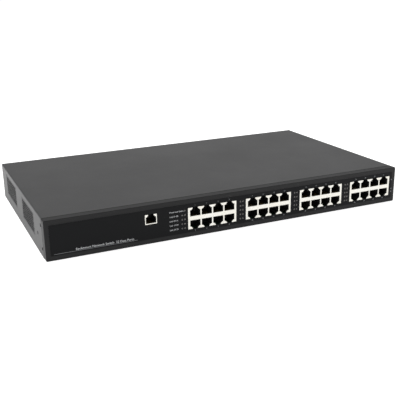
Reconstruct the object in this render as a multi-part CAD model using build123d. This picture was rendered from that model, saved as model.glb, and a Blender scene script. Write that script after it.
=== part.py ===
"""A one-unit rackmount network switch: a steel case with four blocks of eight sockets and a console socket.

Millimetres. X runs along the front from left to right, Y from the front to the rear, Z up.
The origin is on the underside of the case, at its middle.
"""

import os
from math import sqrt

from build123d import *

# case
CASE_WIDTH = 440.0
CASE_DEPTH = 250.0
CASE_HEIGHT = 44.0
SHEET = 1.0
BEND_RADIUS = 1.6
SEAM = 0.3
SLIP = 0.15
BEZEL_RETURN = 10.0
BEZEL_EDGE_RADIUS = 0.8
SOCKETS_PROUD = 0.5
FILM_THICKNESS = 0.25
FILM_SIDE_INSET = 5.0
FILM_END_INSET = 5.4
PAN_REACH = 7.0
TONGUE_WIDTH = 24.0
TONGUE_REACH = 5.0
TONGUE_ROOT = 6.0
TONGUE_COUNT = 4
TONGUE_PITCH = 105.0
REAR_LIP = 8.0
REAR_MARGIN = 0.05
COVER_SCREW_INSET = 15.0

# screws and stand-offs
THREAD_RADIUS = 1.5
THREAD_GAP = 0.05
SCREW_HEAD_RADIUS = 2.75
SCREW_HEAD_HEIGHT = 1.8
SCREW_HEAD_ROUND = 0.7
SCREW_RECESS_RADIUS = 0.9
SCREW_RECESS_DEPTH = 0.9
SCREW_LENGTH = 5.0
CLEARANCE_RADIUS = 1.7
STANDOFF_RADIUS = 2.75

# rack ear threads: a pair one above the other, and one behind them
EAR_THREAD_RADIUS = 2.0
EAR_PILOT_RADIUS = 2.9
EAR_NUT_RADIUS = 4.0
EAR_NUT_HEIGHT = 2.5
EAR_PILOT_GAP = 0.1
EAR_PAIR_SETBACK = 15.0
EAR_PAIR_SPACING = 26.0
EAR_SINGLE_SETBACK = 33.0
EAR_CENTRE_Z = 22.6
EAR_SINGLE_Z = 21.4

# data sockets, in blocks of two rows
PORT_PITCH = 13.97
PORTS_PER_ROW = 4
PORT_WIDTH = 12.5
PORT_HEIGHT = 7.2
PORT_DEPTH = 13.5
LATCH_SLOT_WIDTH = 6.35
LATCH_SHOULDER = 1.9
BLOCK_SIDE_WALL = 2.35
BLOCK_HEIGHT = 24.6
BLOCK_DEPTH = 25.0
MIDDLE_BAR = 4.6
BLOCK_COUNT = 4
BLOCK_PITCH = 71.5
FIRST_BLOCK_X = -33.6
BLOCK_CENTRE_Z = 21.5
WINDOW_GAP = 0.2
SHIELD_SHEET = 0.25
SHIELD_SETBACK = 3.0

# spring contacts
CONTACT_COUNT = 8
CONTACT_PITCH = 1.02
CONTACT_WIDTH = 0.5
CONTACT_THICKNESS = 0.3
CONTACT_RISE = 1.9
CONTACT_SETBACK = 3.0
CONTACT_HOOK = 1.2
CONTACT_GAP = 0.05

# console socket, on a raised board of its own
CONSOLE_X = -106.2
CONSOLE_CENTRE_Z = 28.1
CONSOLE_WIDTH = 13.4
CONSOLE_HEIGHT = 10.9
CONSOLE_DEPTH = 21.0
CONSOLE_SILL = 0.9
CONSOLE_PORT_WIDTH = 11.7

# indicators, in two columns beside each block
LIGHT_HOLE_RADIUS = 1.1
LIGHT_PIPE_RADIUS = 0.95
LIGHT_ROWS = 5
LIGHT_END_INSET = 2.2
LIGHT_COLUMN_PITCH = 3.2
LIGHT_PAIR_OFFSET = 34.8
LIGHT_PIPE_LENGTH = 8.0
CARRIER_THICKNESS = 1.2
CARRIER_SETBACK = 3.0
CARRIER_MARGIN = 1.0
LED_SIZE = 1.6
LED_THICKNESS = 0.8
LED_BOARD_SHEET = 1.0

# vents and fans
VENT_LENGTH = 66.5
VENT_HEIGHT = 25.2
VENT_CENTRE_Z = 24.8
VENT_SETBACKS = (83.5, 186.0)
GRILLE_SHEET = 0.8
GRILLE_LIP = 1.3
GRILLE_HOLE_RADIUS = 1.35
GRILLE_PITCH = 3.6
GRILLE_EDGE = 2.6
FAN_SIZE = 40.0
FAN_DEPTH = 20.0
FAN_BORE_RADIUS = 18.8
FAN_HOLE_PITCH = 32.0
FAN_SETBACKS = (130.0, 186.0)
FAN_CENTRE_Z = 21.6
FAN_GUARD_GAP = 0.65
FAN_HUB_RADIUS = 8.5
FAN_HUB_LENGTH = 12.0
FAN_TIP_GAP = 0.7
FAN_BLADES = 7
FAN_BLADE_CHORD = 10.0
FAN_BLADE_SHEET = 1.1
FAN_BLADE_ANGLE = 42.0
FAN_DISC_THICKNESS = 2.5
FAN_STRUT = 2.4
FAN_AXLE_RADIUS = 1.5
FAN_AXLE_LENGTH = 9.0
FAN_END_GAP = 0.6
RUNNING_GAP = 0.06

# boards and what stands on them
BOARD = 1.6
BOARD_FRONT_GAP = 2.5
BOARD_HOLE_INSET = 5.0
MAIN_BOARD_LEFT = -78.0
MAIN_BOARD_RIGHT_GAP = 6.0
MAIN_BOARD_LENGTH = 95.0
CONSOLE_BOARD_WIDTH = 44.0
CONSOLE_BOARD_LENGTH = 48.0
SUPPLY_BOARD_WIDTH = 130.0
SUPPLY_BOARD_LENGTH = 98.0
SUPPLY_BOARD_LEFT_GAP = 12.0
SUPPLY_BOARD_REAR_GAP = 28.0
CHIP_SIZE = 35.0
CHIP_HEIGHT = 2.4
SINK_SIZE = 46.0
SINK_BASE = 3.0
SINK_HEIGHT = 18.0
SINK_FINS = 9
SINK_FIN = 1.4
MAGNETIC_LENGTH = 26.0
MAGNETIC_WIDTH = 9.0
MAGNETIC_HEIGHT = 6.0
MAGNETIC_GAP = 4.0
CAPACITOR_RADIUS = 4.0
CAPACITOR_HEIGHT = 12.0
CAPACITOR_PITCH = 12.0
CAPACITOR_COUNT = 5
RESERVOIR_RADIUS = 12.0
RESERVOIR_HEIGHT = 28.0
TRANSFORMER_CORE = (36.0, 32.0, 10.0)
TRANSFORMER_COIL = (26.0, 38.0, 22.0)
CHOKE_RADIUS = 10.0
CHOKE_BORE_RADIUS = 5.0
CHOKE_HEIGHT = 12.0
TRANSFORMER_AT = (65.0, 29.0)
RESERVOIRS_AT = [(21.0, 41.0), (21.0, 70.0)]
CHOKE_AT = (54.5, 65.0)
SUPPLY_SINKS_AT = [(41.5, 39.0), (93.5, 39.0)]
SUPPLY_SINK_LENGTH = 70.0
SUPPLY_SINK_HEIGHT = 26.0
SUPPLY_SINK_SHEET = 2.5
PART_EDGE = 0.6

# rear fittings
FITTINGS_Z = 19.5
INLET_INSET = 48.0
INLET_FLANGE_WIDTH = 48.0
INLET_FLANGE_HEIGHT = 24.0
INLET_FLANGE_THICKNESS = 2.5
INLET_FLANGE_CORNER = 4.0
INLET_BODY_WIDTH = 28.0
INLET_BODY_HEIGHT = 20.4
INLET_BODY_DEPTH = 21.0
INLET_WELL_WIDTH = 24.4
INLET_WELL_HEIGHT = 16.6
INLET_WELL_DEPTH = 16.0
INLET_WELL_CHAMFER = 4.5
INLET_SCREW_PITCH = 40.0
INLET_SCREW_GAP = 0.3
PIN_WIDTH = 2.0
PIN_HEIGHT = 4.0
PIN_LENGTH = 13.0
PIN_SPREAD = 7.0
PIN_STAGGER = 2.0
TAB_LENGTH = 8.0
TAB_THICKNESS = 0.8
SWITCH_FROM_INLET = 44.0
SWITCH_FLANGE_WIDTH = 15.0
SWITCH_FLANGE_HEIGHT = 21.5
SWITCH_FLANGE_THICKNESS = 1.8
SWITCH_BODY_WIDTH = 12.8
SWITCH_BODY_HEIGHT = 19.0
SWITCH_BODY_DEPTH = 13.5
SWITCH_WELL_WIDTH = 10.2
SWITCH_WELL_HEIGHT = 17.2
SWITCH_WELL_DEPTH = 10.0
ROCKER_SIDE_GAP = 0.3
ROCKER_HALF_HEIGHT = 7.2
ROCKER_TILT = 11.0
ROCKER_PIVOT_DEPTH = 3.0
ROCKER_CREST = 4.6
ROCKER_VALLEY = 3.4
ROCKER_SKIRT = 2.6
ROCKER_PIN_RADIUS = 1.2
ROCKER_PIN_REACH = 0.8
GROUND_FROM_SWITCH = 30.0
GROUND_THREAD_RADIUS = 2.0
GROUND_HEAD_RADIUS = 4.0
GROUND_HEAD_HEIGHT = 2.4

# wires inside the case
MAINS_WIRE_RADIUS = 1.0
LOW_WIRE_RADIUS = 0.8
WIRE_BEND = 6.0
WIRE_RISE = 16.0
WIRE_GAP = 2.0
SUPPLY_WIRE_COUNT = 3
WIRE_FROM_EDGE = 15.0

# places worked out from the sizes above
FRONT = -CASE_DEPTH / 2
REAR = CASE_DEPTH / 2
RIGHT = CASE_WIDTH / 2
FILM_FRONT = FRONT + SOCKETS_PROUD
BEZEL_FRONT = FILM_FRONT + FILM_THICKNESS
BEZEL_REAR = FRONT + BEZEL_RETURN + SOCKETS_PROUD
SEAM_Y = BEZEL_REAR + SEAM
WALL_OUT = REAR - SLIP - SHEET - SCREW_HEAD_HEIGHT - REAR_MARGIN
WALL_IN = WALL_OUT - SHEET
COVER_IN = RIGHT - SHEET
PAN_OUT = COVER_IN - SLIP
PAN_IN = PAN_OUT - SHEET
CEILING = CASE_HEIGHT - SHEET
TONGUE_TOP = CEILING - SLIP
PAN_TOP = CEILING - max(SLIP, BEND_RADIUS - SHEET)
EAR_PAIR_Y = FRONT + EAR_PAIR_SETBACK
EAR_PLACES = [
    (EAR_PAIR_Y, EAR_CENTRE_Z - EAR_PAIR_SPACING / 2),
    (EAR_PAIR_Y, EAR_CENTRE_Z + EAR_PAIR_SPACING / 2),
    (FRONT + EAR_SINGLE_SETBACK, EAR_SINGLE_Z),
]
TONGUE_XS = [(i - (TONGUE_COUNT - 1) / 2) * TONGUE_PITCH for i in range(TONGUE_COUNT)]
TONGUE_SCREW_Y = BEZEL_REAR - TONGUE_REACH / 2
COVER_SCREW_XS = (-RIGHT + COVER_SCREW_INSET, 0.0, RIGHT - COVER_SCREW_INSET)
COVER_SCREW_Z = CEILING - REAR_LIP / 2
BLOCK_WIDTH = (PORTS_PER_ROW - 1) * PORT_PITCH + PORT_WIDTH + 2 * BLOCK_SIDE_WALL
BLOCK_XS = [FIRST_BLOCK_X + i * BLOCK_PITCH for i in range(BLOCK_COUNT)]
BOARD_TOP = BLOCK_CENTRE_Z - BLOCK_HEIGHT / 2
BOARD_BOTTOM = BOARD_TOP - BOARD
SOCKETS_REAR = FRONT + BLOCK_DEPTH
MAGNETICS_REAR = SOCKETS_REAR + MAGNETIC_WIDTH + 2 * MAGNETIC_GAP
BOARD_FRONT = BEZEL_FRONT + SHEET + BOARD_FRONT_GAP
CONSOLE_BOARD_TOP = CONSOLE_CENTRE_Z - CONSOLE_HEIGHT / 2
MAIN_BOARD_X = (MAIN_BOARD_LEFT, PAN_IN - MAIN_BOARD_RIGHT_GAP)
MAIN_BOARD_Y = (BOARD_FRONT, BOARD_FRONT + MAIN_BOARD_LENGTH)
CONSOLE_BOARD_X = (CONSOLE_X - CONSOLE_BOARD_WIDTH / 2, CONSOLE_X + CONSOLE_BOARD_WIDTH / 2)
CONSOLE_BOARD_Y = (BOARD_FRONT, BOARD_FRONT + CONSOLE_BOARD_LENGTH)
SUPPLY_BOARD_X = (SUPPLY_BOARD_LEFT_GAP - PAN_IN, SUPPLY_BOARD_LEFT_GAP - PAN_IN + SUPPLY_BOARD_WIDTH)
SUPPLY_BOARD_Y = (WALL_IN - SUPPLY_BOARD_REAR_GAP - SUPPLY_BOARD_LENGTH, WALL_IN - SUPPLY_BOARD_REAR_GAP)
LIGHT_TOP = BLOCK_CENTRE_Z + BLOCK_HEIGHT / 2 - LIGHT_END_INSET
LIGHT_ROW_PITCH = (BLOCK_HEIGHT - 2 * LIGHT_END_INSET) / (LIGHT_ROWS - 1)
LIGHT_ZS = [LIGHT_TOP - row * LIGHT_ROW_PITCH for row in range(LIGHT_ROWS)]
LIGHT_REAR = FILM_FRONT + LIGHT_PIPE_LENGTH
FAN_GUARD_RADIUS = FAN_BORE_RADIUS + SLIP - GRILLE_LIP - FAN_GUARD_GAP
FAN_YS = [FRONT + setback for setback in FAN_SETBACKS]
VENT_YS = [FRONT + setback for setback in VENT_SETBACKS]
INLET_X = INLET_INSET - RIGHT
SWITCH_X = INLET_X + SWITCH_FROM_INLET
GROUND_X = SWITCH_X + GROUND_FROM_SWITCH
INLET_FACE = WALL_OUT + INLET_FLANGE_THICKNESS
INLET_FLOOR = INLET_FACE - INLET_WELL_DEPTH
INLET_REAR = WALL_OUT - INLET_BODY_DEPTH
SWITCH_REAR = WALL_OUT - SWITCH_BODY_DEPTH
ROCKER_Y = WALL_OUT - ROCKER_PIVOT_DEPTH


def block(x, y, z):
    """A box between two values on each axis."""
    spans = (x, y, z)
    middle = [(low + high) / 2 for low, high in spans]
    return Pos(*middle) * Box(*[high - low for low, high in spans])


def around(middle, size):
    """The two values half a size each side of a middle."""
    return (middle - size / 2, middle + size / 2)


def rod(radius, start, end):
    """A round rod from one point to another."""
    start, end = Vector(*start), Vector(*end)
    plane = Plane(origin=start, z_dir=end - start)
    return extrude(plane * Circle(radius), amount=(end - start).length)


def outline_y(points, y):
    """A solid whose outline in X and Z runs from one value of y to another."""
    wire = Polyline([(x, y[0], z) for x, z in points], close=True)
    return extrude(make_face(wire), amount=y[1] - y[0], dir=(0, 1, 0))


def outline_x(points, x):
    """A solid whose outline in Y and Z runs from one value of x to another."""
    wire = Polyline([(x[0], y, z) for y, z in points], close=True)
    return extrude(make_face(wire), amount=x[1] - x[0], dir=(1, 0, 0))


def mirrored(shape):
    """The shape's twin on the other side of the case."""
    return mirror(shape, about=Plane.YZ)


def pan_head(seat, direction, length, sizes=(THREAD_RADIUS, SCREW_HEAD_RADIUS, SCREW_HEAD_HEIGHT)):
    """A screw whose head sits at seat and points along direction, with its shank behind it."""
    thread, head, height = sizes
    seat, direction = Vector(*seat), Vector(*direction)
    plane = Plane(origin=seat, z_dir=direction)
    cap = extrude(plane * Circle(head), amount=height)
    rim = cap.edges().filter_by(GeomType.CIRCLE).sort_by(lambda edge: edge.center().dot(direction))[-1]
    cap = fillet(rim, radius=min(SCREW_HEAD_ROUND, height / 2))
    top = Plane(origin=seat + direction * height, z_dir=-direction)
    recess = extrude(top * RegularPolygon(SCREW_RECESS_RADIUS, 4), amount=SCREW_RECESS_DEPTH)
    return cap + extrude(plane * Circle(thread), amount=-length) - recess


def export(name, *shapes):
    """Writes one node, either a single solid or a group of separate ones."""
    solids = [solid for shape in shapes for solid in shape.solids()]
    export_step(solids[0] if len(solids) == 1 else Compound(children=solids), f"parts/{name}.step")


# ---------------------------------------------------------------- casing


def front_windows(y):
    """What is cut through the front for the sockets and the indicators, between two values of y."""
    height = BLOCK_HEIGHT + 2 * WINDOW_GAP
    cuts = [
        block(around(x, BLOCK_WIDTH + 2 * WINDOW_GAP), y, around(BLOCK_CENTRE_Z, height))
        for x in BLOCK_XS
    ]
    console_x = around(CONSOLE_X, CONSOLE_WIDTH + 2 * WINDOW_GAP)
    cuts.append(block(console_x, y, around(CONSOLE_CENTRE_Z, CONSOLE_HEIGHT + 2 * WINDOW_GAP)))
    for index in range(BLOCK_COUNT):
        cuts += [rod(LIGHT_HOLE_RADIUS, (x, y[0], z), (x, y[1], z)) for x, z in light_places(index)]
    return cuts


def light_places(index):
    """The indicators beside one block; the first block has no left one in its top row."""
    left = BLOCK_XS[index] - LIGHT_PAIR_OFFSET - LIGHT_COLUMN_PITCH / 2
    places = [(left + column * LIGHT_COLUMN_PITCH, z) for z in LIGHT_ZS for column in range(2)]
    return places[1:] if index == 0 else places


def front_bezel():
    """The folded front: a face with returns at the top, bottom and sides, open to the rear."""
    outer = block((-RIGHT, RIGHT), (BEZEL_FRONT, BEZEL_REAR), (0, CASE_HEIGHT))
    outer = fillet(outer.edges().filter_by(Axis.Y), radius=BEND_RADIUS)
    outer = fillet(outer.faces().sort_by(Axis.Y)[0].edges(), radius=BEZEL_EDGE_RADIUS)
    inner = block((-COVER_IN, COVER_IN), (BEZEL_FRONT + SHEET, BEZEL_REAR), (SHEET, CEILING))
    threads = [
        rod(THREAD_RADIUS + THREAD_GAP, (x, TONGUE_SCREW_Y, 0), (x, TONGUE_SCREW_Y, SHEET))
        for x in TONGUE_XS
    ]
    return outer - inner - threads - front_windows((BEZEL_FRONT, BEZEL_FRONT + SHEET))


def front_overlay():
    """The printed film stuck to the bezel's face."""
    x = (FILM_SIDE_INSET - RIGHT, RIGHT - FILM_SIDE_INSET)
    film = block(x, (FILM_FRONT, BEZEL_FRONT), (FILM_END_INSET, CASE_HEIGHT - FILM_END_INSET))
    film = fillet(film.edges().filter_by(Axis.Y), radius=SHEET)
    return film - front_windows((FILM_FRONT, BEZEL_FRONT))


def vent_cut(margin, x):
    """The left side's two vent windows, each larger all round by a margin."""
    length, height = VENT_LENGTH + 2 * margin, VENT_HEIGHT + 2 * margin
    return [block(x, around(y, length), around(VENT_CENTRE_Z, height)) for y in VENT_YS]


def fan_cut(radius, x):
    """The right side's two round fan windows."""
    return [rod(radius, (x[0], y, FAN_CENTRE_Z), (x[1], y, FAN_CENTRE_Z)) for y in FAN_YS]


def ear_cut(radius, x):
    """The rack ear holes in both sides, between two distances from the middle."""
    holes = [rod(radius, (x[0], y, z), (x[1], y, z)) for y, z in EAR_PLACES]
    return holes + [mirrored(hole) for hole in holes]


def cover_lip():
    """The lip that turns down behind the rear wall, with its screw holes."""
    y = (WALL_OUT + SLIP, WALL_OUT + SLIP + SHEET)
    z = COVER_SCREW_Z
    lip = block((SEAM - COVER_IN, COVER_IN - SEAM), y, (CEILING - REAR_LIP, CEILING))
    return lip - [rod(CLEARANCE_RADIUS, (x, y[0], z), (x, y[1], z)) for x in COVER_SCREW_XS]


def cover_tongues():
    """The tongues under the cover's front edge that slip in under the bezel."""
    z = (TONGUE_TOP - SHEET, TONGUE_TOP)
    tongues = []
    for x in TONGUE_XS:
        span = around(x, TONGUE_WIDTH)
        tongues.append(block(span, (BEZEL_REAR - TONGUE_REACH, SEAM_Y + TONGUE_ROOT), z))
        tongues.append(block(span, (SEAM_Y, SEAM_Y + TONGUE_ROOT), (TONGUE_TOP, CEILING)))
    return tongues


def top_cover():
    """The cover: a top with two sides that hang outside the pan's sides."""
    outer = block((-RIGHT, RIGHT), (SEAM_Y, REAR), (0, CASE_HEIGHT))
    outer = fillet(outer.edges().filter_by(Axis.Y).group_by(Axis.Z)[-1], radius=BEND_RADIUS)
    inner = block((-COVER_IN, COVER_IN), (SEAM_Y, REAR), (0, CEILING))
    inner = fillet(inner.edges().filter_by(Axis.Y).group_by(Axis.Z)[-1], radius=BEND_RADIUS - SHEET)
    cover = outer - inner + cover_lip() + cover_tongues()
    cover -= vent_cut(0, (-RIGHT, -COVER_IN)) + fan_cut(FAN_GUARD_RADIUS, (COVER_IN, RIGHT))
    return cover - ear_cut(EAR_PILOT_RADIUS + EAR_PILOT_GAP, (COVER_IN, RIGHT))


def pan_tongues():
    """The tongues on the floor's front edge that lie over the bezel's bottom return."""
    step = SHEET + SLIP
    tongues = []
    for x in TONGUE_XS:
        span = around(x, TONGUE_WIDTH)
        tongue = block(span, (BEZEL_REAR - TONGUE_REACH, SEAM_Y + TONGUE_ROOT), (step, step + SHEET))
        hole = rod(CLEARANCE_RADIUS, (x, TONGUE_SCREW_Y, step), (x, TONGUE_SCREW_Y, step + SHEET))
        tongues.append(tongue - hole)
        tongues.append(block(span, (SEAM_Y, SEAM_Y + TONGUE_ROOT), (SHEET, step)))
    return tongues


def rear_cuts():
    """What is cut through the rear wall for the fittings and the cover's screws."""
    y, gap = (WALL_IN, WALL_OUT), 2 * WINDOW_GAP
    inlet = (INLET_X, INLET_BODY_WIDTH, INLET_BODY_HEIGHT)
    switch = (SWITCH_X, SWITCH_BODY_WIDTH, SWITCH_BODY_HEIGHT)
    cuts = [
        block(around(x, width + gap), y, around(FITTINGS_Z, height + gap))
        for x, width, height in (inlet, switch)
    ]
    holes = [(x, COVER_SCREW_Z, THREAD_RADIUS) for x in COVER_SCREW_XS]
    holes += [(x, FITTINGS_Z, THREAD_RADIUS) for x in around(INLET_X, INLET_SCREW_PITCH)]
    holes.append((GROUND_X, FITTINGS_Z, GROUND_THREAD_RADIUS))
    return cuts + [rod(radius + THREAD_GAP, (x, y[0], z), (x, y[1], z)) for x, z, radius in holes]


def fan_screw_places():
    """Where the fan screws pass, as y and z."""
    half = FAN_HOLE_PITCH / 2
    return [(y + a * half, FAN_CENTRE_Z + b * half) for y in FAN_YS for a in (-1, 1) for b in (-1, 1)]


def base_pan():
    """The tray that carries everything: a floor, two sides and the rear wall."""
    pan = block((-PAN_OUT, PAN_OUT), (SEAM_Y, WALL_OUT), (0, SHEET))
    pan += block((-PAN_OUT, PAN_OUT), (WALL_IN, WALL_OUT), (SHEET, PAN_TOP))
    side = block((PAN_IN, PAN_OUT), (BEZEL_REAR - PAN_REACH, WALL_IN), (SHEET + SLIP, PAN_TOP))
    side += block((PAN_IN, PAN_OUT), (SEAM_Y, WALL_IN), (SHEET, SHEET + SLIP))
    pan += [side, mirrored(side)] + pan_tongues()
    pan -= vent_cut(GRILLE_LIP + WINDOW_GAP, (-PAN_OUT, -PAN_IN))
    pan -= fan_cut(FAN_BORE_RADIUS, (PAN_IN, PAN_OUT))
    pan -= ear_cut(EAR_PILOT_RADIUS, (PAN_IN, PAN_OUT))
    radius = THREAD_RADIUS + THREAD_GAP
    pan -= [rod(radius, (PAN_IN, y, z), (PAN_OUT, y, z)) for y, z in fan_screw_places()]
    return pan - rear_cuts()


def hole_grid(length, height, keep):
    """The middles of staggered holes within a length and a height that a test keeps."""
    step = GRILLE_PITCH * sqrt(3) / 2
    rows, columns = int(height / 2 / step), int(length / 2 / GRILLE_PITCH) + 1
    places = []
    for row in range(-rows, rows + 1):
        for column in range(-columns, columns + 1):
            across = (column + (row % 2) / 2) * GRILLE_PITCH
            if keep(across, row * step):
                places.append((across, row * step))
    return places


def vent_grille(y):
    """A punched tray that sits flush in one of the cover's side windows."""
    length, height = VENT_LENGTH - 2 * SLIP, VENT_HEIGHT - 2 * SLIP
    lip = 2 * (SLIP + GRILLE_LIP)
    deep = -COVER_IN + GRILLE_SHEET
    tray = block((-RIGHT, deep), around(y, length), around(VENT_CENTRE_Z, height))
    tray += block((-COVER_IN, deep), around(y, length + lip), around(VENT_CENTRE_Z, height + lip))
    wall = 2 * GRILLE_SHEET
    face = GRILLE_SHEET - RIGHT
    tray -= block((face, deep), around(y, length - wall), around(VENT_CENTRE_Z, height - wall))
    half_length, half_height = length / 2 - GRILLE_EDGE, height / 2 - GRILLE_EDGE
    places = hole_grid(length, height, lambda a, b: abs(a) < half_length and abs(b) < half_height)
    holes = [(y + a, VENT_CENTRE_Z + b) for a, b in places]
    return tray - [rod(GRILLE_HOLE_RADIUS, (-RIGHT, a, b), (face, a, b)) for a, b in holes]


def fan_guard(y):
    """A round punched tray that sits flush in the cover in front of one fan."""
    radius = FAN_GUARD_RADIUS - SLIP
    deep = COVER_IN - GRILLE_SHEET
    tray = rod(radius, (deep, y, FAN_CENTRE_Z), (RIGHT, y, FAN_CENTRE_Z))
    tray += rod(radius + GRILLE_LIP, (deep, y, FAN_CENTRE_Z), (COVER_IN, y, FAN_CENTRE_Z))
    face = RIGHT - GRILLE_SHEET
    tray -= rod(radius - GRILLE_SHEET, (deep, y, FAN_CENTRE_Z), (face, y, FAN_CENTRE_Z))
    limit = radius - GRILLE_EDGE
    places = hole_grid(2 * radius, 2 * radius, lambda a, b: a * a + b * b < limit * limit)
    holes = [(y + a, FAN_CENTRE_Z + b) for a, b in places]
    return tray - [rod(GRILLE_HOLE_RADIUS, (face, a, b), (RIGHT, a, b)) for a, b in holes]


def ear_nuts():
    """The clinched nuts for the rack ears, flush with the cover's sides."""
    nuts = []
    for y, z in EAR_PLACES:
        nut = rod(EAR_PILOT_RADIUS, (PAN_IN, y, z), (RIGHT, y, z))
        nut += rod(EAR_NUT_RADIUS, (PAN_IN - EAR_NUT_HEIGHT, y, z), (PAN_IN, y, z))
        nut -= rod(EAR_THREAD_RADIUS, (PAN_IN - EAR_NUT_HEIGHT, y, z), (RIGHT, y, z))
        nuts += [nut, mirrored(nut)]
    return nuts


def cover_screws():
    """The screws through the cover's lip into the rear wall."""
    seat = WALL_OUT + SLIP + SHEET
    return [pan_head((x, seat, COVER_SCREW_Z), (0, 1, 0), SCREW_LENGTH) for x in COVER_SCREW_XS]


def bezel_screws():
    """The screws down through the pan's tongues into the bezel."""
    seat = 2 * SHEET + SLIP
    return [pan_head((x, TONGUE_SCREW_Y, seat), (0, 0, 1), seat - THREAD_GAP) for x in TONGUE_XS]


# ---------------------------------------------------------------- sockets


def port_outline(width, toward):
    """A socket's mouth, measured from its contact side, with its latch slot facing up (+1) or down (-1)."""
    half, slot = width / 2, LATCH_SLOT_WIDTH / 2
    top = PORT_HEIGHT + (BLOCK_HEIGHT - MIDDLE_BAR) / 2
    right = [(half, 0), (half, PORT_HEIGHT), (slot + LATCH_SHOULDER, PORT_HEIGHT)]
    right += [(slot, PORT_HEIGHT + LATCH_SHOULDER), (slot, top)]
    points = right + [(-x, z) for x, z in reversed(right)]
    return [(x, toward * z) for x, z in points]


def port_cut(x, z, width, toward):
    """The space inside one socket, open at the front and at the latch side."""
    points = [(x + a, z + b) for a, b in port_outline(width, toward)]
    return outline_y(points, (FRONT, FRONT + PORT_DEPTH))


def port_places(index):
    """Each socket of a block, as its middle, its contact side's height and the way its latch faces."""
    first = BLOCK_XS[index] - (PORTS_PER_ROW - 1) / 2 * PORT_PITCH
    xs = [first + i * PORT_PITCH for i in range(PORTS_PER_ROW)]
    return [(x, BLOCK_CENTRE_Z + toward * MIDDLE_BAR / 2, toward) for toward in (1, -1) for x in xs]


def port_block(index):
    """The plastic housing of eight sockets."""
    y = (FRONT, SOCKETS_REAR)
    body = block(around(BLOCK_XS[index], BLOCK_WIDTH), y, around(BLOCK_CENTRE_Z, BLOCK_HEIGHT))
    return body - [port_cut(x, z, PORT_WIDTH, toward) for x, z, toward in port_places(index)]


def contacts(x, z, toward):
    """The eight springs of one socket, each sloping from its mouth to its rear wall."""
    front, rear = FRONT + CONTACT_SETBACK, FRONT + PORT_DEPTH
    low, high, thick = CONTACT_GAP, CONTACT_RISE, CONTACT_THICKNESS
    root = rear - CONTACT_HOOK
    side = [(rear, low), (front, low), (front, low + thick), (front + CONTACT_HOOK, low + thick)]
    side += [(root, high), (rear, high), (rear, high - thick), (root, high - thick)]
    side += [(front + 2 * CONTACT_HOOK, low + thick), (rear, low + thick)]
    first = x - (CONTACT_COUNT - 1) / 2 * CONTACT_PITCH
    springs = []
    for i in range(CONTACT_COUNT):
        points = [(y, z + toward * height) for y, height in side]
        springs.append(outline_x(points, around(first + i * CONTACT_PITCH, CONTACT_WIDTH)))
    return springs


def port_contacts(index):
    """The springs of all eight sockets of a block."""
    return [spring for place in port_places(index) for spring in contacts(*place)]


def shield(x, z, y, base):
    """A thin steel shell over a housing's top, sides and rear, between two values on each axis."""
    sheet = SHIELD_SHEET
    outer = block((x[0] - sheet, x[1] + sheet), (y[0], y[1] + sheet), (base, z[1] + sheet))
    return outer - block(x, y, (base, z[1]))


def port_shield(index):
    """The shell over one block."""
    x, z = around(BLOCK_XS[index], BLOCK_WIDTH), around(BLOCK_CENTRE_Z, BLOCK_HEIGHT)
    return shield(x, z, (FRONT + SHIELD_SETBACK, SOCKETS_REAR), BOARD_TOP)


def console_jack():
    """The single console socket's housing, with its latch on top."""
    y = (FRONT, FRONT + CONSOLE_DEPTH)
    body = block(around(CONSOLE_X, CONSOLE_WIDTH), y, around(CONSOLE_CENTRE_Z, CONSOLE_HEIGHT))
    return body - port_cut(CONSOLE_X, CONSOLE_BOARD_TOP + CONSOLE_SILL, CONSOLE_PORT_WIDTH, 1)


def console_shield():
    """The shell over the console socket."""
    x, z = around(CONSOLE_X, CONSOLE_WIDTH), around(CONSOLE_CENTRE_Z, CONSOLE_HEIGHT)
    return shield(x, z, (FRONT + SHIELD_SETBACK, FRONT + CONSOLE_DEPTH), CONSOLE_BOARD_TOP)


# ---------------------------------------------------------------- indicators


def light_pipes(index):
    """The clear pipes of one pair of columns, joined by the bar that carries them."""
    places = light_places(index)
    xs = [x for x, _ in places]
    edge = LIGHT_PIPE_RADIUS + CARRIER_MARGIN
    y = (FILM_FRONT + CARRIER_SETBACK, FILM_FRONT + CARRIER_SETBACK + CARRIER_THICKNESS)
    bar = block((min(xs) - edge, max(xs) + edge), y, (LIGHT_ZS[-1] - edge, LIGHT_ZS[0] + edge))
    return bar + [rod(LIGHT_PIPE_RADIUS, (x, FILM_FRONT, z), (x, LIGHT_REAR, z)) for x, z in places]


def indicator_lamps():
    """The small lamps behind every light pipe."""
    y = (LIGHT_REAR, LIGHT_REAR + LED_THICKNESS)
    places = [place for index in range(BLOCK_COUNT) for place in light_places(index)]
    return [block(around(x, LED_SIZE), y, around(z, LED_SIZE)) for x, z in places]


def indicator_boards():
    """The upright boards that carry the lamps, standing on the main board."""
    front = LIGHT_REAR + LED_THICKNESS
    width = LIGHT_COLUMN_PITCH + 2 * LED_SIZE
    z = (BOARD_TOP, LIGHT_ZS[0] + LED_SIZE)
    xs = [x - LIGHT_PAIR_OFFSET for x in BLOCK_XS]
    return [block(around(x, width), (front, front + LED_BOARD_SHEET), z) for x in xs]


# ---------------------------------------------------------------- boards


def board_corners(x, y):
    """The four fixing places of a board."""
    inset = BOARD_HOLE_INSET
    return [(a, b) for a in (x[0] + inset, x[1] - inset) for b in (y[0] + inset, y[1] - inset)]


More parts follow.
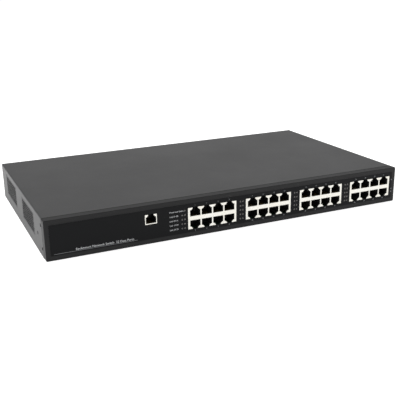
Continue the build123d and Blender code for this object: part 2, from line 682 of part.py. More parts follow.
def fixing_places():
    """Every board's fixings, as x, y and the height of the board's underside."""
    console = CONSOLE_BOARD_TOP - BOARD
    places = [(*spot, console) for spot in board_corners(CONSOLE_BOARD_X, CONSOLE_BOARD_Y)]
    places += [(*spot, BOARD_BOTTOM) for spot in board_corners(SUPPLY_BOARD_X, SUPPLY_BOARD_Y)]
    main_y = (MAGNETICS_REAR, MAIN_BOARD_Y[1])
    places += [(*spot, BOARD_BOTTOM) for spot in board_corners(MAIN_BOARD_X, main_y)]
    middle = (MAIN_BOARD_X[0] + MAIN_BOARD_X[1]) / 2
    return places + [(middle, MAIN_BOARD_Y[1] - BOARD_HOLE_INSET, BOARD_BOTTOM)]


def circuit_board(x, y, top):
    """A bare board with holes for its fixings."""
    holes = [spot for spot in fixing_places() if x[0] < spot[0] < x[1] and y[0] < spot[1] < y[1]]
    cuts = [rod(CLEARANCE_RADIUS, (a, b, top - BOARD), (a, b, top)) for a, b, _ in holes]
    return block(x, y, (top - BOARD, top)) - cuts


def standoffs():
    """The threaded pillars that stand on the pan's floor under the boards."""
    pillars = []
    for x, y, top in fixing_places():
        pillar = rod(STANDOFF_RADIUS, (x, y, SHEET), (x, y, top))
        pillars.append(pillar - rod(THREAD_RADIUS + THREAD_GAP, (x, y, SHEET), (x, y, top)))
    return pillars


def board_screws():
    """The screws that hold the boards down."""
    return [pan_head((x, y, z + BOARD), (0, 0, 1), SCREW_LENGTH) for x, y, z in fixing_places()]


def chip_spot():
    """The middle of the switching chip on the main board."""
    return (BLOCK_XS[1] + BLOCK_XS[2]) / 2, MAGNETICS_REAR + SINK_SIZE / 2


def switch_chip():
    """The chip that does the switching."""
    x, y = chip_spot()
    return block(around(x, CHIP_SIZE), around(y, CHIP_SIZE), (BOARD_TOP, BOARD_TOP + CHIP_HEIGHT))


def heat_sink():
    """The finned sink on the switching chip."""
    x, y = chip_spot()
    base = BOARD_TOP + CHIP_HEIGHT
    sink = block(around(x, SINK_SIZE), around(y, SINK_SIZE), (base, base + SINK_BASE))
    step = (SINK_SIZE - SINK_FIN) / (SINK_FINS - 1)
    low = x - (SINK_SIZE - SINK_FIN) / 2
    z = (base + SINK_BASE, base + SINK_HEIGHT)
    return sink + [block(around(low + i * step, SINK_FIN), around(y, SINK_SIZE), z) for i in range(SINK_FINS)]


def magnetics():
    """The two isolating transformers behind each block."""
    y = (SOCKETS_REAR + MAGNETIC_GAP, SOCKETS_REAR + MAGNETIC_GAP + MAGNETIC_WIDTH)
    z = (BOARD_TOP, BOARD_TOP + MAGNETIC_HEIGHT)
    shift = (MAGNETIC_LENGTH + MAGNETIC_GAP) / 2
    cases = [block(around(x + a * shift, MAGNETIC_LENGTH), y, z) for x in BLOCK_XS for a in (-1, 1)]
    return [chamfer(case.edges().filter_by(Axis.X).group_by(Axis.Z)[-1], PART_EDGE) for case in cases]


def can(radius, height, x, y):
    """A round capacitor standing on a board."""
    shape = rod(radius, (x, y, BOARD_TOP), (x, y, BOARD_TOP + height))
    return fillet(shape.edges().filter_by(GeomType.CIRCLE).group_by(Axis.Z)[-1], radius=PART_EDGE)


def capacitors():
    """The row of capacitors at the main board's rear."""
    y = MAIN_BOARD_Y[1] - 2 * BOARD_HOLE_INSET
    first = BLOCK_XS[2] + SINK_SIZE / 2
    xs = [first + i * CAPACITOR_PITCH for i in range(CAPACITOR_COUNT)]
    return [can(CAPACITOR_RADIUS, CAPACITOR_HEIGHT, x, y) for x in xs]


def on_supply(place):
    """A place on the supply board, measured from its front left corner."""
    return SUPPLY_BOARD_X[0] + place[0], SUPPLY_BOARD_Y[0] + place[1]


def supply_transformer():
    """The supply's transformer: a ferrite core in two halves round a taped coil."""
    x, y = on_supply(TRANSFORMER_AT)
    middle = Pos(x, y, BOARD_TOP + TRANSFORMER_COIL[2] / 2)
    return middle * Box(*TRANSFORMER_COIL) + middle * Box(*TRANSFORMER_CORE)


def reservoirs():
    """The supply's two large capacitors."""
    return [can(RESERVOIR_RADIUS, RESERVOIR_HEIGHT, *on_supply(place)) for place in RESERVOIRS_AT]


def supply_choke():
    """The ring choke that filters the mains."""
    x, y = on_supply(CHOKE_AT)
    ring = rod(CHOKE_RADIUS, (x, y, BOARD_TOP), (x, y, BOARD_TOP + CHOKE_HEIGHT))
    return ring - rod(CHOKE_BORE_RADIUS, (x, y, BOARD_TOP), (x, y, BOARD_TOP + CHOKE_HEIGHT))


def supply_heat_sinks():
    """The two upright plates that cool the supply."""
    z = (BOARD_TOP, BOARD_TOP + SUPPLY_SINK_HEIGHT)
    middles = [on_supply(place) for place in SUPPLY_SINKS_AT]
    return [block(around(x, SUPPLY_SINK_SHEET), around(y, SUPPLY_SINK_LENGTH), z) for x, y in middles]


# ---------------------------------------------------------------- rear fittings


def pin_places():
    """The inlet's three pins, as x and z; the middle one is the earth."""
    low, high = around(FITTINGS_Z, 2 * PIN_STAGGER)
    return [(INLET_X - PIN_SPREAD, low), (INLET_X, high), (INLET_X + PIN_SPREAD, low)]


def inlet_screw_seats():
    """Where the inlet's screw heads sit, sunk in its flange."""
    y = INLET_FACE - SCREW_HEAD_HEIGHT
    return [(x, y, FITTINGS_Z) for x in around(INLET_X, INLET_SCREW_PITCH)]


def ac_inlet():
    """The mains inlet: a flange, a body through the wall and a well with two cut corners."""
    x, z = around(INLET_X, INLET_FLANGE_WIDTH), around(FITTINGS_Z, INLET_FLANGE_HEIGHT)
    flange = block(x, (WALL_OUT, INLET_FACE), z)
    flange = fillet(flange.edges().filter_by(Axis.Y), radius=INLET_FLANGE_CORNER)
    x, z = around(INLET_X, INLET_BODY_WIDTH), around(FITTINGS_Z, INLET_BODY_HEIGHT)
    body = block(x, (INLET_REAR, WALL_OUT), z)
    x, z = around(INLET_X, INLET_WELL_WIDTH), around(FITTINGS_Z, INLET_WELL_HEIGHT)
    well = block(x, (INLET_FLOOR, INLET_FACE), z)
    cuts = [chamfer(well.edges().filter_by(Axis.Y).group_by(Axis.Z)[-1], INLET_WELL_CHAMFER)]
    for x, y, z in inlet_screw_seats():
        cuts.append(rod(CLEARANCE_RADIUS, (x, WALL_OUT, z), (x, y, z)))
        cuts.append(rod(SCREW_HEAD_RADIUS + INLET_SCREW_GAP, (x, y, z), (x, INLET_FACE, z)))
    for x, z in pin_places():
        cuts.append(block(around(x, PIN_WIDTH), (INLET_REAR, INLET_FLOOR), around(z, PIN_HEIGHT)))
    return flange + body - cuts


def inlet_screws():
    """The screws sunk in the inlet's flange."""
    return [pan_head(seat, (0, 1, 0), SCREW_LENGTH) for seat in inlet_screw_seats()]


def inlet_pins():
    """The inlet's blades, each running out behind the body as a solder tab."""
    pins = []
    for x, z in pin_places():
        pin = block(around(x, PIN_WIDTH), (INLET_REAR, INLET_FLOOR + PIN_LENGTH), around(z, PIN_HEIGHT))
        tab = block(around(x, TAB_THICKNESS), (INLET_REAR - TAB_LENGTH, INLET_REAR), around(z, PIN_HEIGHT))
        pins.append(pin + tab)
    return pins


def rocker_frame():
    """The power switch's housing, with a bore each side for the rocker's pivot."""
    face = WALL_OUT + SWITCH_FLANGE_THICKNESS
    x, z = around(SWITCH_X, SWITCH_FLANGE_WIDTH), around(FITTINGS_Z, SWITCH_FLANGE_HEIGHT)
    frame = block(x, (WALL_OUT, face), z)
    frame = fillet(frame.faces().sort_by(Axis.Y)[-1].edges(), radius=PART_EDGE)
    x, z = around(SWITCH_X, SWITCH_BODY_WIDTH), around(FITTINGS_Z, SWITCH_BODY_HEIGHT)
    frame += block(x, (SWITCH_REAR, WALL_OUT), z)
    x, z = around(SWITCH_X, SWITCH_WELL_WIDTH), around(FITTINGS_Z, SWITCH_WELL_HEIGHT)
    frame -= block(x, (face - SWITCH_WELL_DEPTH, face), z)
    low, high = around(SWITCH_X, SWITCH_WELL_WIDTH + 2 * (ROCKER_PIN_REACH + SLIP))
    bore = ROCKER_PIN_RADIUS + RUNNING_GAP
    return frame - rod(bore, (low, ROCKER_Y, FITTINGS_Z), (high, ROCKER_Y, FITTINGS_Z))


def rocker_button():
    """The rocker, tipped to off, with a pivot pin each side."""
    half, crest, skirt = ROCKER_HALF_HEIGHT, ROCKER_CREST, ROCKER_SKIRT
    side = [(-skirt, -half), (crest, -half), (ROCKER_VALLEY, 0), (crest, half), (-skirt, half)]
    width = SWITCH_WELL_WIDTH / 2 - ROCKER_SIDE_GAP
    rocker = outline_x(side, (-width, width))
    rocker = fillet(rocker.edges().group_by(Axis.Y)[-1].filter_by(Axis.X), radius=PART_EDGE)
    reach = SWITCH_WELL_WIDTH / 2 + ROCKER_PIN_REACH
    rocker += rod(ROCKER_PIN_RADIUS, (-reach, 0, 0), (reach, 0, 0))
    return Pos(SWITCH_X, ROCKER_Y, FITTINGS_Z) * Rot(-ROCKER_TILT, 0, 0) * rocker


def switch_tab_places():
    """The power switch's two terminals, as x and z."""
    return [(SWITCH_X, z) for z in around(FITTINGS_Z, SWITCH_BODY_HEIGHT / 2)]


def switch_terminals():
    """The tabs behind the power switch."""
    y = (SWITCH_REAR - TAB_LENGTH, SWITCH_REAR)
    return [block(around(x, TAB_THICKNESS), y, around(z, PIN_HEIGHT)) for x, z in switch_tab_places()]


def ground_screw():
    """The earthing screw on the rear wall."""
    sizes = (GROUND_THREAD_RADIUS, GROUND_HEAD_RADIUS, GROUND_HEAD_HEIGHT)
    return pan_head((GROUND_X, WALL_OUT, FITTINGS_Z), (0, 1, 0), SCREW_LENGTH, sizes)


# ---------------------------------------------------------------- fans


def fan_frame(y):
    """A fan's square frame, with a bore, four fixing holes, a spoked disc and a bearing post."""
    x = (PAN_IN - FAN_DEPTH, PAN_IN)
    z = FAN_CENTRE_Z
    frame = block(x, around(y, FAN_SIZE), around(z, FAN_SIZE))
    frame = fillet(frame.edges().filter_by(Axis.X), radius=CLEARANCE_RADIUS)
    frame -= rod(FAN_BORE_RADIUS, (x[0], y, z), (x[1], y, z))
    disc = (x[0], x[0] + FAN_DISC_THICKNESS)
    frame += block(disc, around(y, FAN_STRUT), around(z, 2 * FAN_BORE_RADIUS + FAN_STRUT))
    frame += block(disc, around(y, 2 * FAN_BORE_RADIUS + FAN_STRUT), around(z, FAN_STRUT))
    frame += rod(FAN_HUB_RADIUS, (disc[0], y, z), (disc[1], y, z))
    bore = FAN_AXLE_RADIUS + RUNNING_GAP
    post = rod(bore + SHEET, (disc[1], y, z), (disc[1] + FAN_AXLE_LENGTH, y, z))
    frame += post
    frame -= rod(bore, (disc[1] - FAN_END_GAP, y, z), (disc[1] + FAN_AXLE_LENGTH, y, z))
    places = [spot for spot in fan_screw_places() if abs(spot[0] - y) < FAN_SIZE / 2]
    return frame - [rod(CLEARANCE_RADIUS, (x[0], a, b), (x[1], a, b)) for a, b in places]


def fan_rotor(y):
    """A fan's rotor: a cup with blades and an axle that turns in the frame's post."""
    z = FAN_CENTRE_Z
    start = PAN_IN - FAN_DEPTH + FAN_DISC_THICKNESS + FAN_END_GAP
    end = start + FAN_HUB_LENGTH
    hub = rod(FAN_HUB_RADIUS, (start, y, z), (end, y, z))
    hollow = start + FAN_AXLE_LENGTH
    post = FAN_AXLE_RADIUS + RUNNING_GAP + SHEET
    hub -= rod(post + FAN_END_GAP, (start, y, z), (hollow, y, z))
    hub += rod(FAN_AXLE_RADIUS, (start - FAN_END_GAP, y, z), (hollow, y, z))
    reach = FAN_BORE_RADIUS - FAN_TIP_GAP
    blade = Pos((reach + FAN_HUB_RADIUS - SHEET) / 2, 0, 0) * Box(
        reach - FAN_HUB_RADIUS + SHEET, FAN_BLADE_CHORD, FAN_BLADE_SHEET
    )
    middle = (start + end) / 2
    for i in range(FAN_BLADES):
        turned = Rot(0, 0, i * 360 / FAN_BLADES) * Rot(FAN_BLADE_ANGLE, 0, 0) * blade
        hub += Pos(middle, y, z) * Rot(0, 90, 0) * turned
    limit = rod(reach, (start, y, z), (end, y, z)) + rod(post, (start - FAN_END_GAP, y, z), (end, y, z))
    return hub & limit


def fan_screws():
    """The long screws through the fans into the pan's side."""
    seat = PAN_IN - FAN_DEPTH
    return [pan_head((seat, y, z), (-1, 0, 0), PAN_OUT - seat - THREAD_GAP) for y, z in fan_screw_places()]


# ---------------------------------------------------------------- wires


def wire(radius, points):
    """A round wire along straight runs joined by arcs."""
    path = FilletPolyline(*points, radius=WIRE_BEND)
    return sweep(Plane(origin=path @ 0, z_dir=path % 0) * Circle(radius), path=path)


def mains_wires():
    """The wires from the inlet to the power switch, and from both to the supply board."""
    (live_x, live_z), (earth_x, earth_z), (neutral_x, neutral_z) = pin_places()
    (x, lower), (_, upper) = switch_tab_places()
    inlet_y, switch_y = INLET_REAR - TAB_LENGTH, SWITCH_REAR - TAB_LENGTH
    board_y = SUPPLY_BOARD_Y[1] - WIRE_FROM_EDGE
    routes = [
        [(live_x, inlet_y, live_z), (live_x, board_y, live_z), (live_x, board_y, BOARD_TOP)],
        [(earth_x, inlet_y, earth_z), (earth_x, board_y, earth_z), (earth_x, board_y, BOARD_TOP)],
        [(x, switch_y, upper), (x, board_y, upper), (x, board_y, BOARD_TOP)],
    ]
    turn = inlet_y - 2 * WIRE_BEND
    across = [(neutral_x, inlet_y, neutral_z), (neutral_x, turn, neutral_z)]
    across += [(x, turn, lower), (x, switch_y, lower)]
    return [wire(MAINS_WIRE_RADIUS, route) for route in routes + [across]]


def supply_cable():
    """The wires that carry the supply's output over to the main board."""
    top = BOARD_TOP + WIRE_RISE
    start, end = SUPPLY_BOARD_X[1] - WIRE_FROM_EDGE, MAIN_BOARD_X[0] + WIRE_FROM_EDGE
    near, far = SUPPLY_BOARD_Y[0] + WIRE_FROM_EDGE, MAIN_BOARD_Y[1] - WIRE_FROM_EDGE
    wires = []
    for i in range(SUPPLY_WIRE_COUNT):
        shift = i * (2 * LOW_WIRE_RADIUS + WIRE_GAP)
        route = [(start + shift, near, BOARD_TOP), (start + shift, near, top)]
        route += [(end + shift, far, top), (end + shift, far, BOARD_TOP)]
        wires.append(wire(LOW_WIRE_RADIUS, route))
    return wires


def fan_wires():
    """Each fan's wire, from a strut of its frame to the main board."""
    z = FAN_CENTRE_Z + FAN_SIZE / 4
    start, far = PAN_IN - FAN_DEPTH, MAIN_BOARD_Y[1] - WIRE_FROM_EDGE
    wires = []
    for i, y in enumerate(FAN_YS):
        x = start - WIRE_FROM_EDGE - i * (2 * LOW_WIRE_RADIUS + WIRE_GAP)
        wires.append(wire(LOW_WIRE_RADIUS, [(start, y, z), (x, y, z), (x, far, z), (x, far, BOARD_TOP)]))
    return wires


os.makedirs("parts", exist_ok=True)

export("base_pan", base_pan())
export("top_cover", top_cover())
export("front_bezel", front_bezel())
export("front_overlay", front_overlay())
export("cover_screws", *cover_screws())
export("bezel_screws", *bezel_screws())
export("ear_nuts", *ear_nuts())
for name, y in zip(("front", "rear"), VENT_YS):
    export(f"vent_grille_{name}", vent_grille(y))
for name, y in zip(("front", "rear"), FAN_YS):
    export(f"fan_guard_{name}", fan_guard(y))
    export(f"fan_frame_{name}", fan_frame(y))
    export(f"fan_rotor_{name}", fan_rotor(y))
export("fan_screws", *fan_screws())
for index in range(BLOCK_COUNT):
    export(f"port_block_{index + 1}", port_block(index))
    export(f"port_contacts_{index + 1}", *port_contacts(index))
    export(f"port_shield_{index + 1}", port_shield(index))
    export(f"light_pipes_{index + 1}", light_pipes(index))
export("console_jack", console_jack())
export("console_contacts", *contacts(CONSOLE_X, CONSOLE_BOARD_TOP + CONSOLE_SILL, 1))
export("console_shield", console_shield())
export("indicator_lamps", *indicator_lamps())
export("indicator_boards", *indicator_boards())
export("main_board", circuit_board(MAIN_BOARD_X, MAIN_BOARD_Y, BOARD_TOP))
export("console_board", circuit_board(CONSOLE_BOARD_X, CONSOLE_BOARD_Y, CONSOLE_BOARD_TOP))
export("supply_board", circuit_board(SUPPLY_BOARD_X, SUPPLY_BOARD_Y, BOARD_TOP))
export("standoffs", *standoffs())
export("board_screws", *board_screws())
export("switch_chip", switch_chip())
export("heat_sink", heat_sink())
export("magnetics", *magnetics())
export("capacitors", *capacitors())
export("supply_transformer", supply_transformer())
export("supply_reservoirs", *reservoirs())
export("supply_choke", supply_choke())
export("supply_heat_sinks", *supply_heat_sinks())
export("ac_inlet", ac_inlet())
export("inlet_pins", *inlet_pins())
export("inlet_screws", *inlet_screws())
export("rocker_frame", rocker_frame())
export("rocker_button", rocker_button())
export("switch_terminals", *switch_terminals())
export("ground_screw", ground_screw())
export("mains_wires", *mains_wires())
export("supply_cable", *supply_cable())
export("fan_wires", *fan_wires())
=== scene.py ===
"""The looks of a one-unit rackmount network switch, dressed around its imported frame.

Metres throughout. X runs along the front from left to right, Y from the front to the rear, Z up, and the
origin is on the underside of the case, at its middle.
"""

import logging
import math
from dataclasses import dataclass
from enum import Enum
from typing import Sequence

import bmesh
import bpy
from mathutils import Matrix, Vector

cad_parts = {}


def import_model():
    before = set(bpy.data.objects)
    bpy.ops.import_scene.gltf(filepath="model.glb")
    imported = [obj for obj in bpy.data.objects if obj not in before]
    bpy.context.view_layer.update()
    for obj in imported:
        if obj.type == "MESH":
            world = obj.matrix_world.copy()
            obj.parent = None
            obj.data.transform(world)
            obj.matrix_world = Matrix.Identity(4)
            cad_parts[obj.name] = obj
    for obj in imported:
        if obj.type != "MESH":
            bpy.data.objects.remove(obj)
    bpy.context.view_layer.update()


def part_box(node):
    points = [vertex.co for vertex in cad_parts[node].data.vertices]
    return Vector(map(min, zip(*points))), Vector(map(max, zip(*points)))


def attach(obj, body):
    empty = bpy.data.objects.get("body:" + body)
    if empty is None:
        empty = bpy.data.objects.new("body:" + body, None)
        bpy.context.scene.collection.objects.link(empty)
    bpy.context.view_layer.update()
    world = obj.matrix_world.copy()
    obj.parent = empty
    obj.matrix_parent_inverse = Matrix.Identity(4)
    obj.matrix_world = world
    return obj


log = logging.getLogger("network_switch")

MM = 0.001
CHASSIS = "chassis"
BEVEL_SAMPLES = 4

Colour = tuple[float, float, float]
Point = tuple[float, float, float]
Span = tuple[float, float]
Socket = bpy.types.NodeSocket
Node = bpy.types.Node


def rgba(colour: Colour) -> tuple[float, float, float, float]:
    """A colour with full alpha."""
    return (*colour, 1.0)


def tint(colour: Colour, share: float) -> Colour:
    """A colour made darker or lighter by a share of itself."""
    return tuple(min(1.0, channel * share) for channel in colour)


@dataclass(frozen=True)
class Landmarks:
    """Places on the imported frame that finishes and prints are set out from."""

    face_y: float
    seam_y: float
    rear_y: float
    left_x: float

    @classmethod
    def read(cls) -> "Landmarks":
        """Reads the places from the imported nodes.

        Returns:
            The sockets' face, the seam behind the bezel, the rear wall's outer face and the bezel's left end.
        """
        bezel_low, bezel_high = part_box("front_bezel")
        return cls(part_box("port_block_1")[0].y, bezel_high.y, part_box("base_pan")[1].y, bezel_low.x)


class Wiring:
    """A node tree being wired, with short calls for the nodes that the finishes use."""

    def __init__(self, tree: bpy.types.NodeTree) -> None:
        """Holds the tree to wire."""
        self.tree = tree

    def add(self, kind: str, values: dict[str, object] | None = None, **settings: object) -> Node:
        """Adds a node.

        Args:
            kind: The node's type name, without the ShaderNode prefix.
            values: What to feed to its inputs, by name.
            settings: Attributes to set on it first.

        Returns:
            The new node.
        """
        node = self.tree.nodes.new("ShaderNode" + kind)
        for name, value in settings.items():
            setattr(node, name, value)
        for name, value in (values or {}).items():
            self.feed(value, node.inputs[name])
        return node

    def feed(self, value: object, socket: Socket) -> None:
        """Sets a socket to a number or colour, or links another socket to it.

        Args:
            value: The number, the colour or the socket.
            socket: The socket to feed.
        """
        if isinstance(value, bpy.types.NodeSocket):
            self.tree.links.new(value, socket)
        else:
            socket.default_value = value

    def place(self) -> Socket:
        """The place on the object, in metres."""
        return self.add("TexCoord").outputs["Object"]

    def axes(self, place: Socket) -> tuple[Socket, Socket, Socket]:
        """Splits a place into its coordinates.

        Args:
            place: The place.

        Returns:
            Its X, Y and Z.
        """
        split = self.add("SeparateXYZ")
        self.feed(place, split.inputs[0])
        return split.outputs[0], split.outputs[1], split.outputs[2]

    def stretch(self, place: Socket, scale: Sequence[float]) -> Socket:
        """Scales each axis of a place, so that a pattern runs along one of them.

        Args:
            place: The place.
            scale: The scale on X, Y and Z.

        Returns:
            The scaled place.
        """
        return self.add("Mapping", {"Vector": place, "Scale": scale}).outputs[0]

    def noise(self, place: Socket, scale: float, detail: float = 3.0, rough: float = 0.55) -> Socket:
        """Smooth noise from 0 to 1.

        Args:
            place: Where it is read.
            scale: Features per metre.
            detail: Octaves.
            rough: How strong the finer octaves are.

        Returns:
            The noise's value.
        """
        values = {"Vector": place, "Scale": scale, "Detail": detail, "Roughness": rough}
        return self.add("TexNoise", values).outputs[0]

    def ramp(self, value: object, low: float, high: float, start: float = 0.0, end: float = 1.0) -> Socket:
        """Carries a value from one span to another, held at its ends.

        Args:
            value: The value.
            low: Where the first span starts.
            high: Where the first span ends.
            start: Where the second span starts.
            end: Where the second span ends.

        Returns:
            The carried value.
        """
        ramp = self.add("MapRange", clamp=True)
        for socket, item in zip(ramp.inputs, (value, low, high, start, end)):
            self.feed(item, socket)
        return ramp.outputs[0]

    def maths(self, operation: str, first: object, second: object = 0.0) -> Socket:
        """One sum on two numbers.

        Args:
            operation: The Math node's operation.
            first: The first number or socket.
            second: The second number or socket.

        Returns:
            The result.
        """
        node = self.add("Math", operation=operation)
        self.feed(first, node.inputs[0])
        self.feed(second, node.inputs[1])
        return node.outputs[0]

    def mix(self, share: object, first: object, second: object) -> Socket:
        """A blend of two colours.

        Args:
            share: The second colour's share.
            first: The first colour.
            second: The second colour.

        Returns:
            The blended colour.
        """
        node = self.add("Mix", data_type="RGBA")
        self.feed(share, node.inputs["Factor"])
        self.feed(first, node.inputs[6])
        self.feed(second, node.inputs[7])
        return node.outputs[2]

    def bump(self, height: Socket, strength: float, depth: float, under: Socket | None = None) -> Socket:
        """A normal that follows a height.

        Args:
            height: The height, from 0 to 1.
            strength: How much of it shows.
            depth: The real height of 1, in metres.
            under: A normal that it adds to.

        Returns:
            The bumped normal.
        """
        node = self.add("Bump", {"Strength": strength, "Distance": depth, "Height": height})
        if under is not None:
            self.feed(under, node.inputs["Normal"])
        return node.outputs[0]


class Effects:
    """Shader node groups that several finishes share, each built once."""

    def __init__(self, landmarks: Landmarks) -> None:
        """Builds every group.

        Args:
            landmarks: The places that finishes are set out from.
        """
        self.landmarks = landmarks
        self.texture = self.powder_texture()
        self.handling = self.handling_marks()
        self.moulding = self.moulded_skin()
        self.brushing = self.brushed_lines()
        self.wear_and_highlight = self.edge_wear_and_painted_highlight()
        self.seam = self.seam_dust_and_painted_shade()

    @staticmethod
    def group(name: str, inputs: Sequence[str], outputs: Sequence[str]) -> tuple[Wiring, Node, Node]:
        """Starts a node group, in which Place is a vector and every other socket a number.

        Args:
            name: The group's name.
            inputs: The names of what goes in.
            outputs: The names of what comes out.

        Returns:
            The group's wiring, its input node and its output node.
        """
        tree = bpy.data.node_groups.new(name, "ShaderNodeTree")
        for labels, way in ((inputs, "INPUT"), (outputs, "OUTPUT")):
            for label in labels:
                kind = "Vector" if label == "Place" else "Float"
                tree.interface.new_socket(name=label, in_out=way, socket_type="NodeSocket" + kind)
        return Wiring(tree), tree.nodes.new("NodeGroupInput"), tree.nodes.new("NodeGroupOutput")

    def powder_texture(self) -> bpy.types.NodeTree:
        """The fine pebbled skin of powder coat.

        Returns:
            A group that gives a height, and a fleck that lightens some grains.
        """
        drift_scale, drift_share = 0.31, 0.6
        bright_grains = (0.25, 0.7)
        wires, start, end = self.group("powder texture", ("Place", "Grain", "Fleck"), ("Height", "Flecks"))
        place, scale = start.outputs["Place"], start.outputs["Grain"]
        grain = wires.add("TexVoronoi", {"Vector": place, "Scale": scale}, feature="SMOOTH_F1")
        drift = wires.add("TexNoise", {"Vector": place, "Scale": wires.maths("MULTIPLY", scale, drift_scale)})
        slow = wires.maths("MULTIPLY", drift.outputs[0], drift_share)
        wires.feed(wires.maths("ADD", grain.outputs["Distance"], slow), end.inputs["Height"])
        bright = wires.ramp(grain.outputs["Distance"], *bright_grains)
        wires.feed(wires.maths("MULTIPLY", bright, start.outputs["Fleck"]), end.inputs["Flecks"])
        return wires.tree

    def handling_marks(self) -> bpy.types.NodeTree:
        """Broad faint clouds and sparse fine scuffs, as storage and handling leave them.

        Returns:
            A group that gives the clouding and the scuffing.
        """
        cloud_noise, cloud_span = (9.0, 5.0, 0.6), (0.35, 0.7)
        scuff_stretch, scuff_noise, scuff_span = (1.0, 9.0, 5.0), (130.0, 2.0), (0.68, 0.75)
        patch_noise, patch_span = (30.0, 2.0), (0.58, 0.7)
        inputs, outputs = ("Place", "Clouds", "Scuffs"), ("Clouding", "Scuffing")
        wires, start, end = self.group("handling marks", inputs, outputs)
        place = start.outputs["Place"]
        spread = wires.ramp(wires.noise(place, *cloud_noise), *cloud_span)
        wires.feed(wires.maths("MULTIPLY", spread, start.outputs["Clouds"]), end.inputs["Clouding"])
        fine = wires.ramp(wires.noise(wires.stretch(place, scuff_stretch), *scuff_noise), *scuff_span)
        patches = wires.ramp(wires.noise(place, *patch_noise), *patch_span)
        scuffs = wires.maths("MULTIPLY", wires.maths("MULTIPLY", fine, patches), start.outputs["Scuffs"])
        wires.feed(scuffs, end.inputs["Scuffing"])
        return wires.tree

    def moulded_skin(self) -> bpy.types.NodeTree:
        """The faint spark-eroded skin of moulded plastic, with slow flow clouds.

        Returns:
            A group that gives a height and the flow.
        """
        pit_octaves, flow_scale = 4.0, 60.0
        wires, start, end = self.group("moulded skin", ("Place", "Grain"), ("Height", "Flow"))
        place = start.outputs["Place"]
        values = {"Vector": place, "Scale": start.outputs["Grain"], "Detail": pit_octaves}
        wires.feed(wires.add("TexNoise", values).outputs[0], end.inputs["Height"])
        wires.feed(wires.noise(place, flow_scale), end.inputs["Flow"])
        return wires.tree

    def brushed_lines(self) -> bpy.types.NodeTree:
        """Fine drawn lines along X on bare metal, with a slow stain.

        Returns:
            A group that gives the lines and the stain.
        """
        drawn, line_noise, stain_scale = (0.05, 1.0, 1.0), (4000.0, 2.0), 90.0
        wires, start, end = self.group("brushed lines", ("Place",), ("Lines", "Stain"))
        place = start.outputs["Place"]
        wires.feed(wires.noise(wires.stretch(place, drawn), *line_noise), end.inputs["Lines"])
        wires.feed(wires.noise(place, stain_scale), end.inputs["Stain"])
        return wires.tree

    def edge_wear_and_painted_highlight(self) -> bpy.types.NodeTree:
        """Coat rubbed thin along sharp edges, in broken patches, and lightened there as a painted highlight.

        Returns:
            A group that gives the rubbing with its painted highlight.
        """
        edge_span, patch_noise, patch_ramp = (0.995, 0.9), (160.0, 4.0), (0.3, 0.6, 0.35, 1.0)
        wires, start, end = self.group("edge wear", ("Place", "Reach", "Amount"), ("WearAndHighlight",))
        softened = wires.add("Bevel", {"Radius": start.outputs["Reach"]}, samples=BEVEL_SAMPLES)
        alike = wires.add("VectorMath", operation="DOT_PRODUCT")
        wires.feed(softened.outputs[0], alike.inputs[0])
        wires.feed(wires.add("NewGeometry").outputs["Normal"], alike.inputs[1])
        edge = wires.ramp(alike.outputs["Value"], *edge_span)
        broken = wires.ramp(wires.noise(start.outputs["Place"], *patch_noise), *patch_ramp)
        worn_and_highlit = wires.maths("MULTIPLY", wires.maths("MULTIPLY", edge, broken), start.outputs["Amount"])
        wires.feed(worn_and_highlit, end.inputs["WearAndHighlight"])
        return wires.tree

    def seam_dust_and_painted_shade(self) -> bpy.types.NodeTree:
        """Painted shade, with some dust, along the joint between the bezel and the case.

        Returns:
            A group that gives the painted shade.
        """
        fade = (0.35, 1.0, 1.0, 0.0)
        wires, start, end = self.group("seam dust and painted shade", ("Place", "Seam", "Width"), ("Shade",))
        _, depth, _ = wires.axes(start.outputs["Place"])
        away = wires.maths("ABSOLUTE", wires.maths("SUBTRACT", depth, start.outputs["Seam"]))
        share = wires.maths("DIVIDE", away, start.outputs["Width"])
        wires.feed(wires.ramp(share, *fade), end.inputs["Shade"])
        return wires.tree


class Paint(Wiring):
    """A material's tree being wired, with its shader and the groups that finishes share."""

    def __init__(self, tree: bpy.types.NodeTree, effects: Effects) -> None:
        """Holds the tree, its shader and the shared groups."""
        super().__init__(tree)
        self.shader = tree.nodes["Principled BSDF"]
        self.effects = effects

    def use(self, group: bpy.types.NodeTree, **values: object) -> Node:
        """Places a node group, with what to feed to its inputs by name."""
        return self.add("Group", values, node_tree=group)

    def set(self, socket: str, value: object) -> None:
        """Feeds one of the shader's inputs."""
        self.feed(value, self.shader.inputs[socket])

    def colour(self, value: Socket) -> None:
        """Feeds the shader's colour."""
        self.set("Base Color", value)

    def gloss(self, value: Socket) -> None:
        """Feeds the shader's roughness."""
        self.set("Roughness", value)


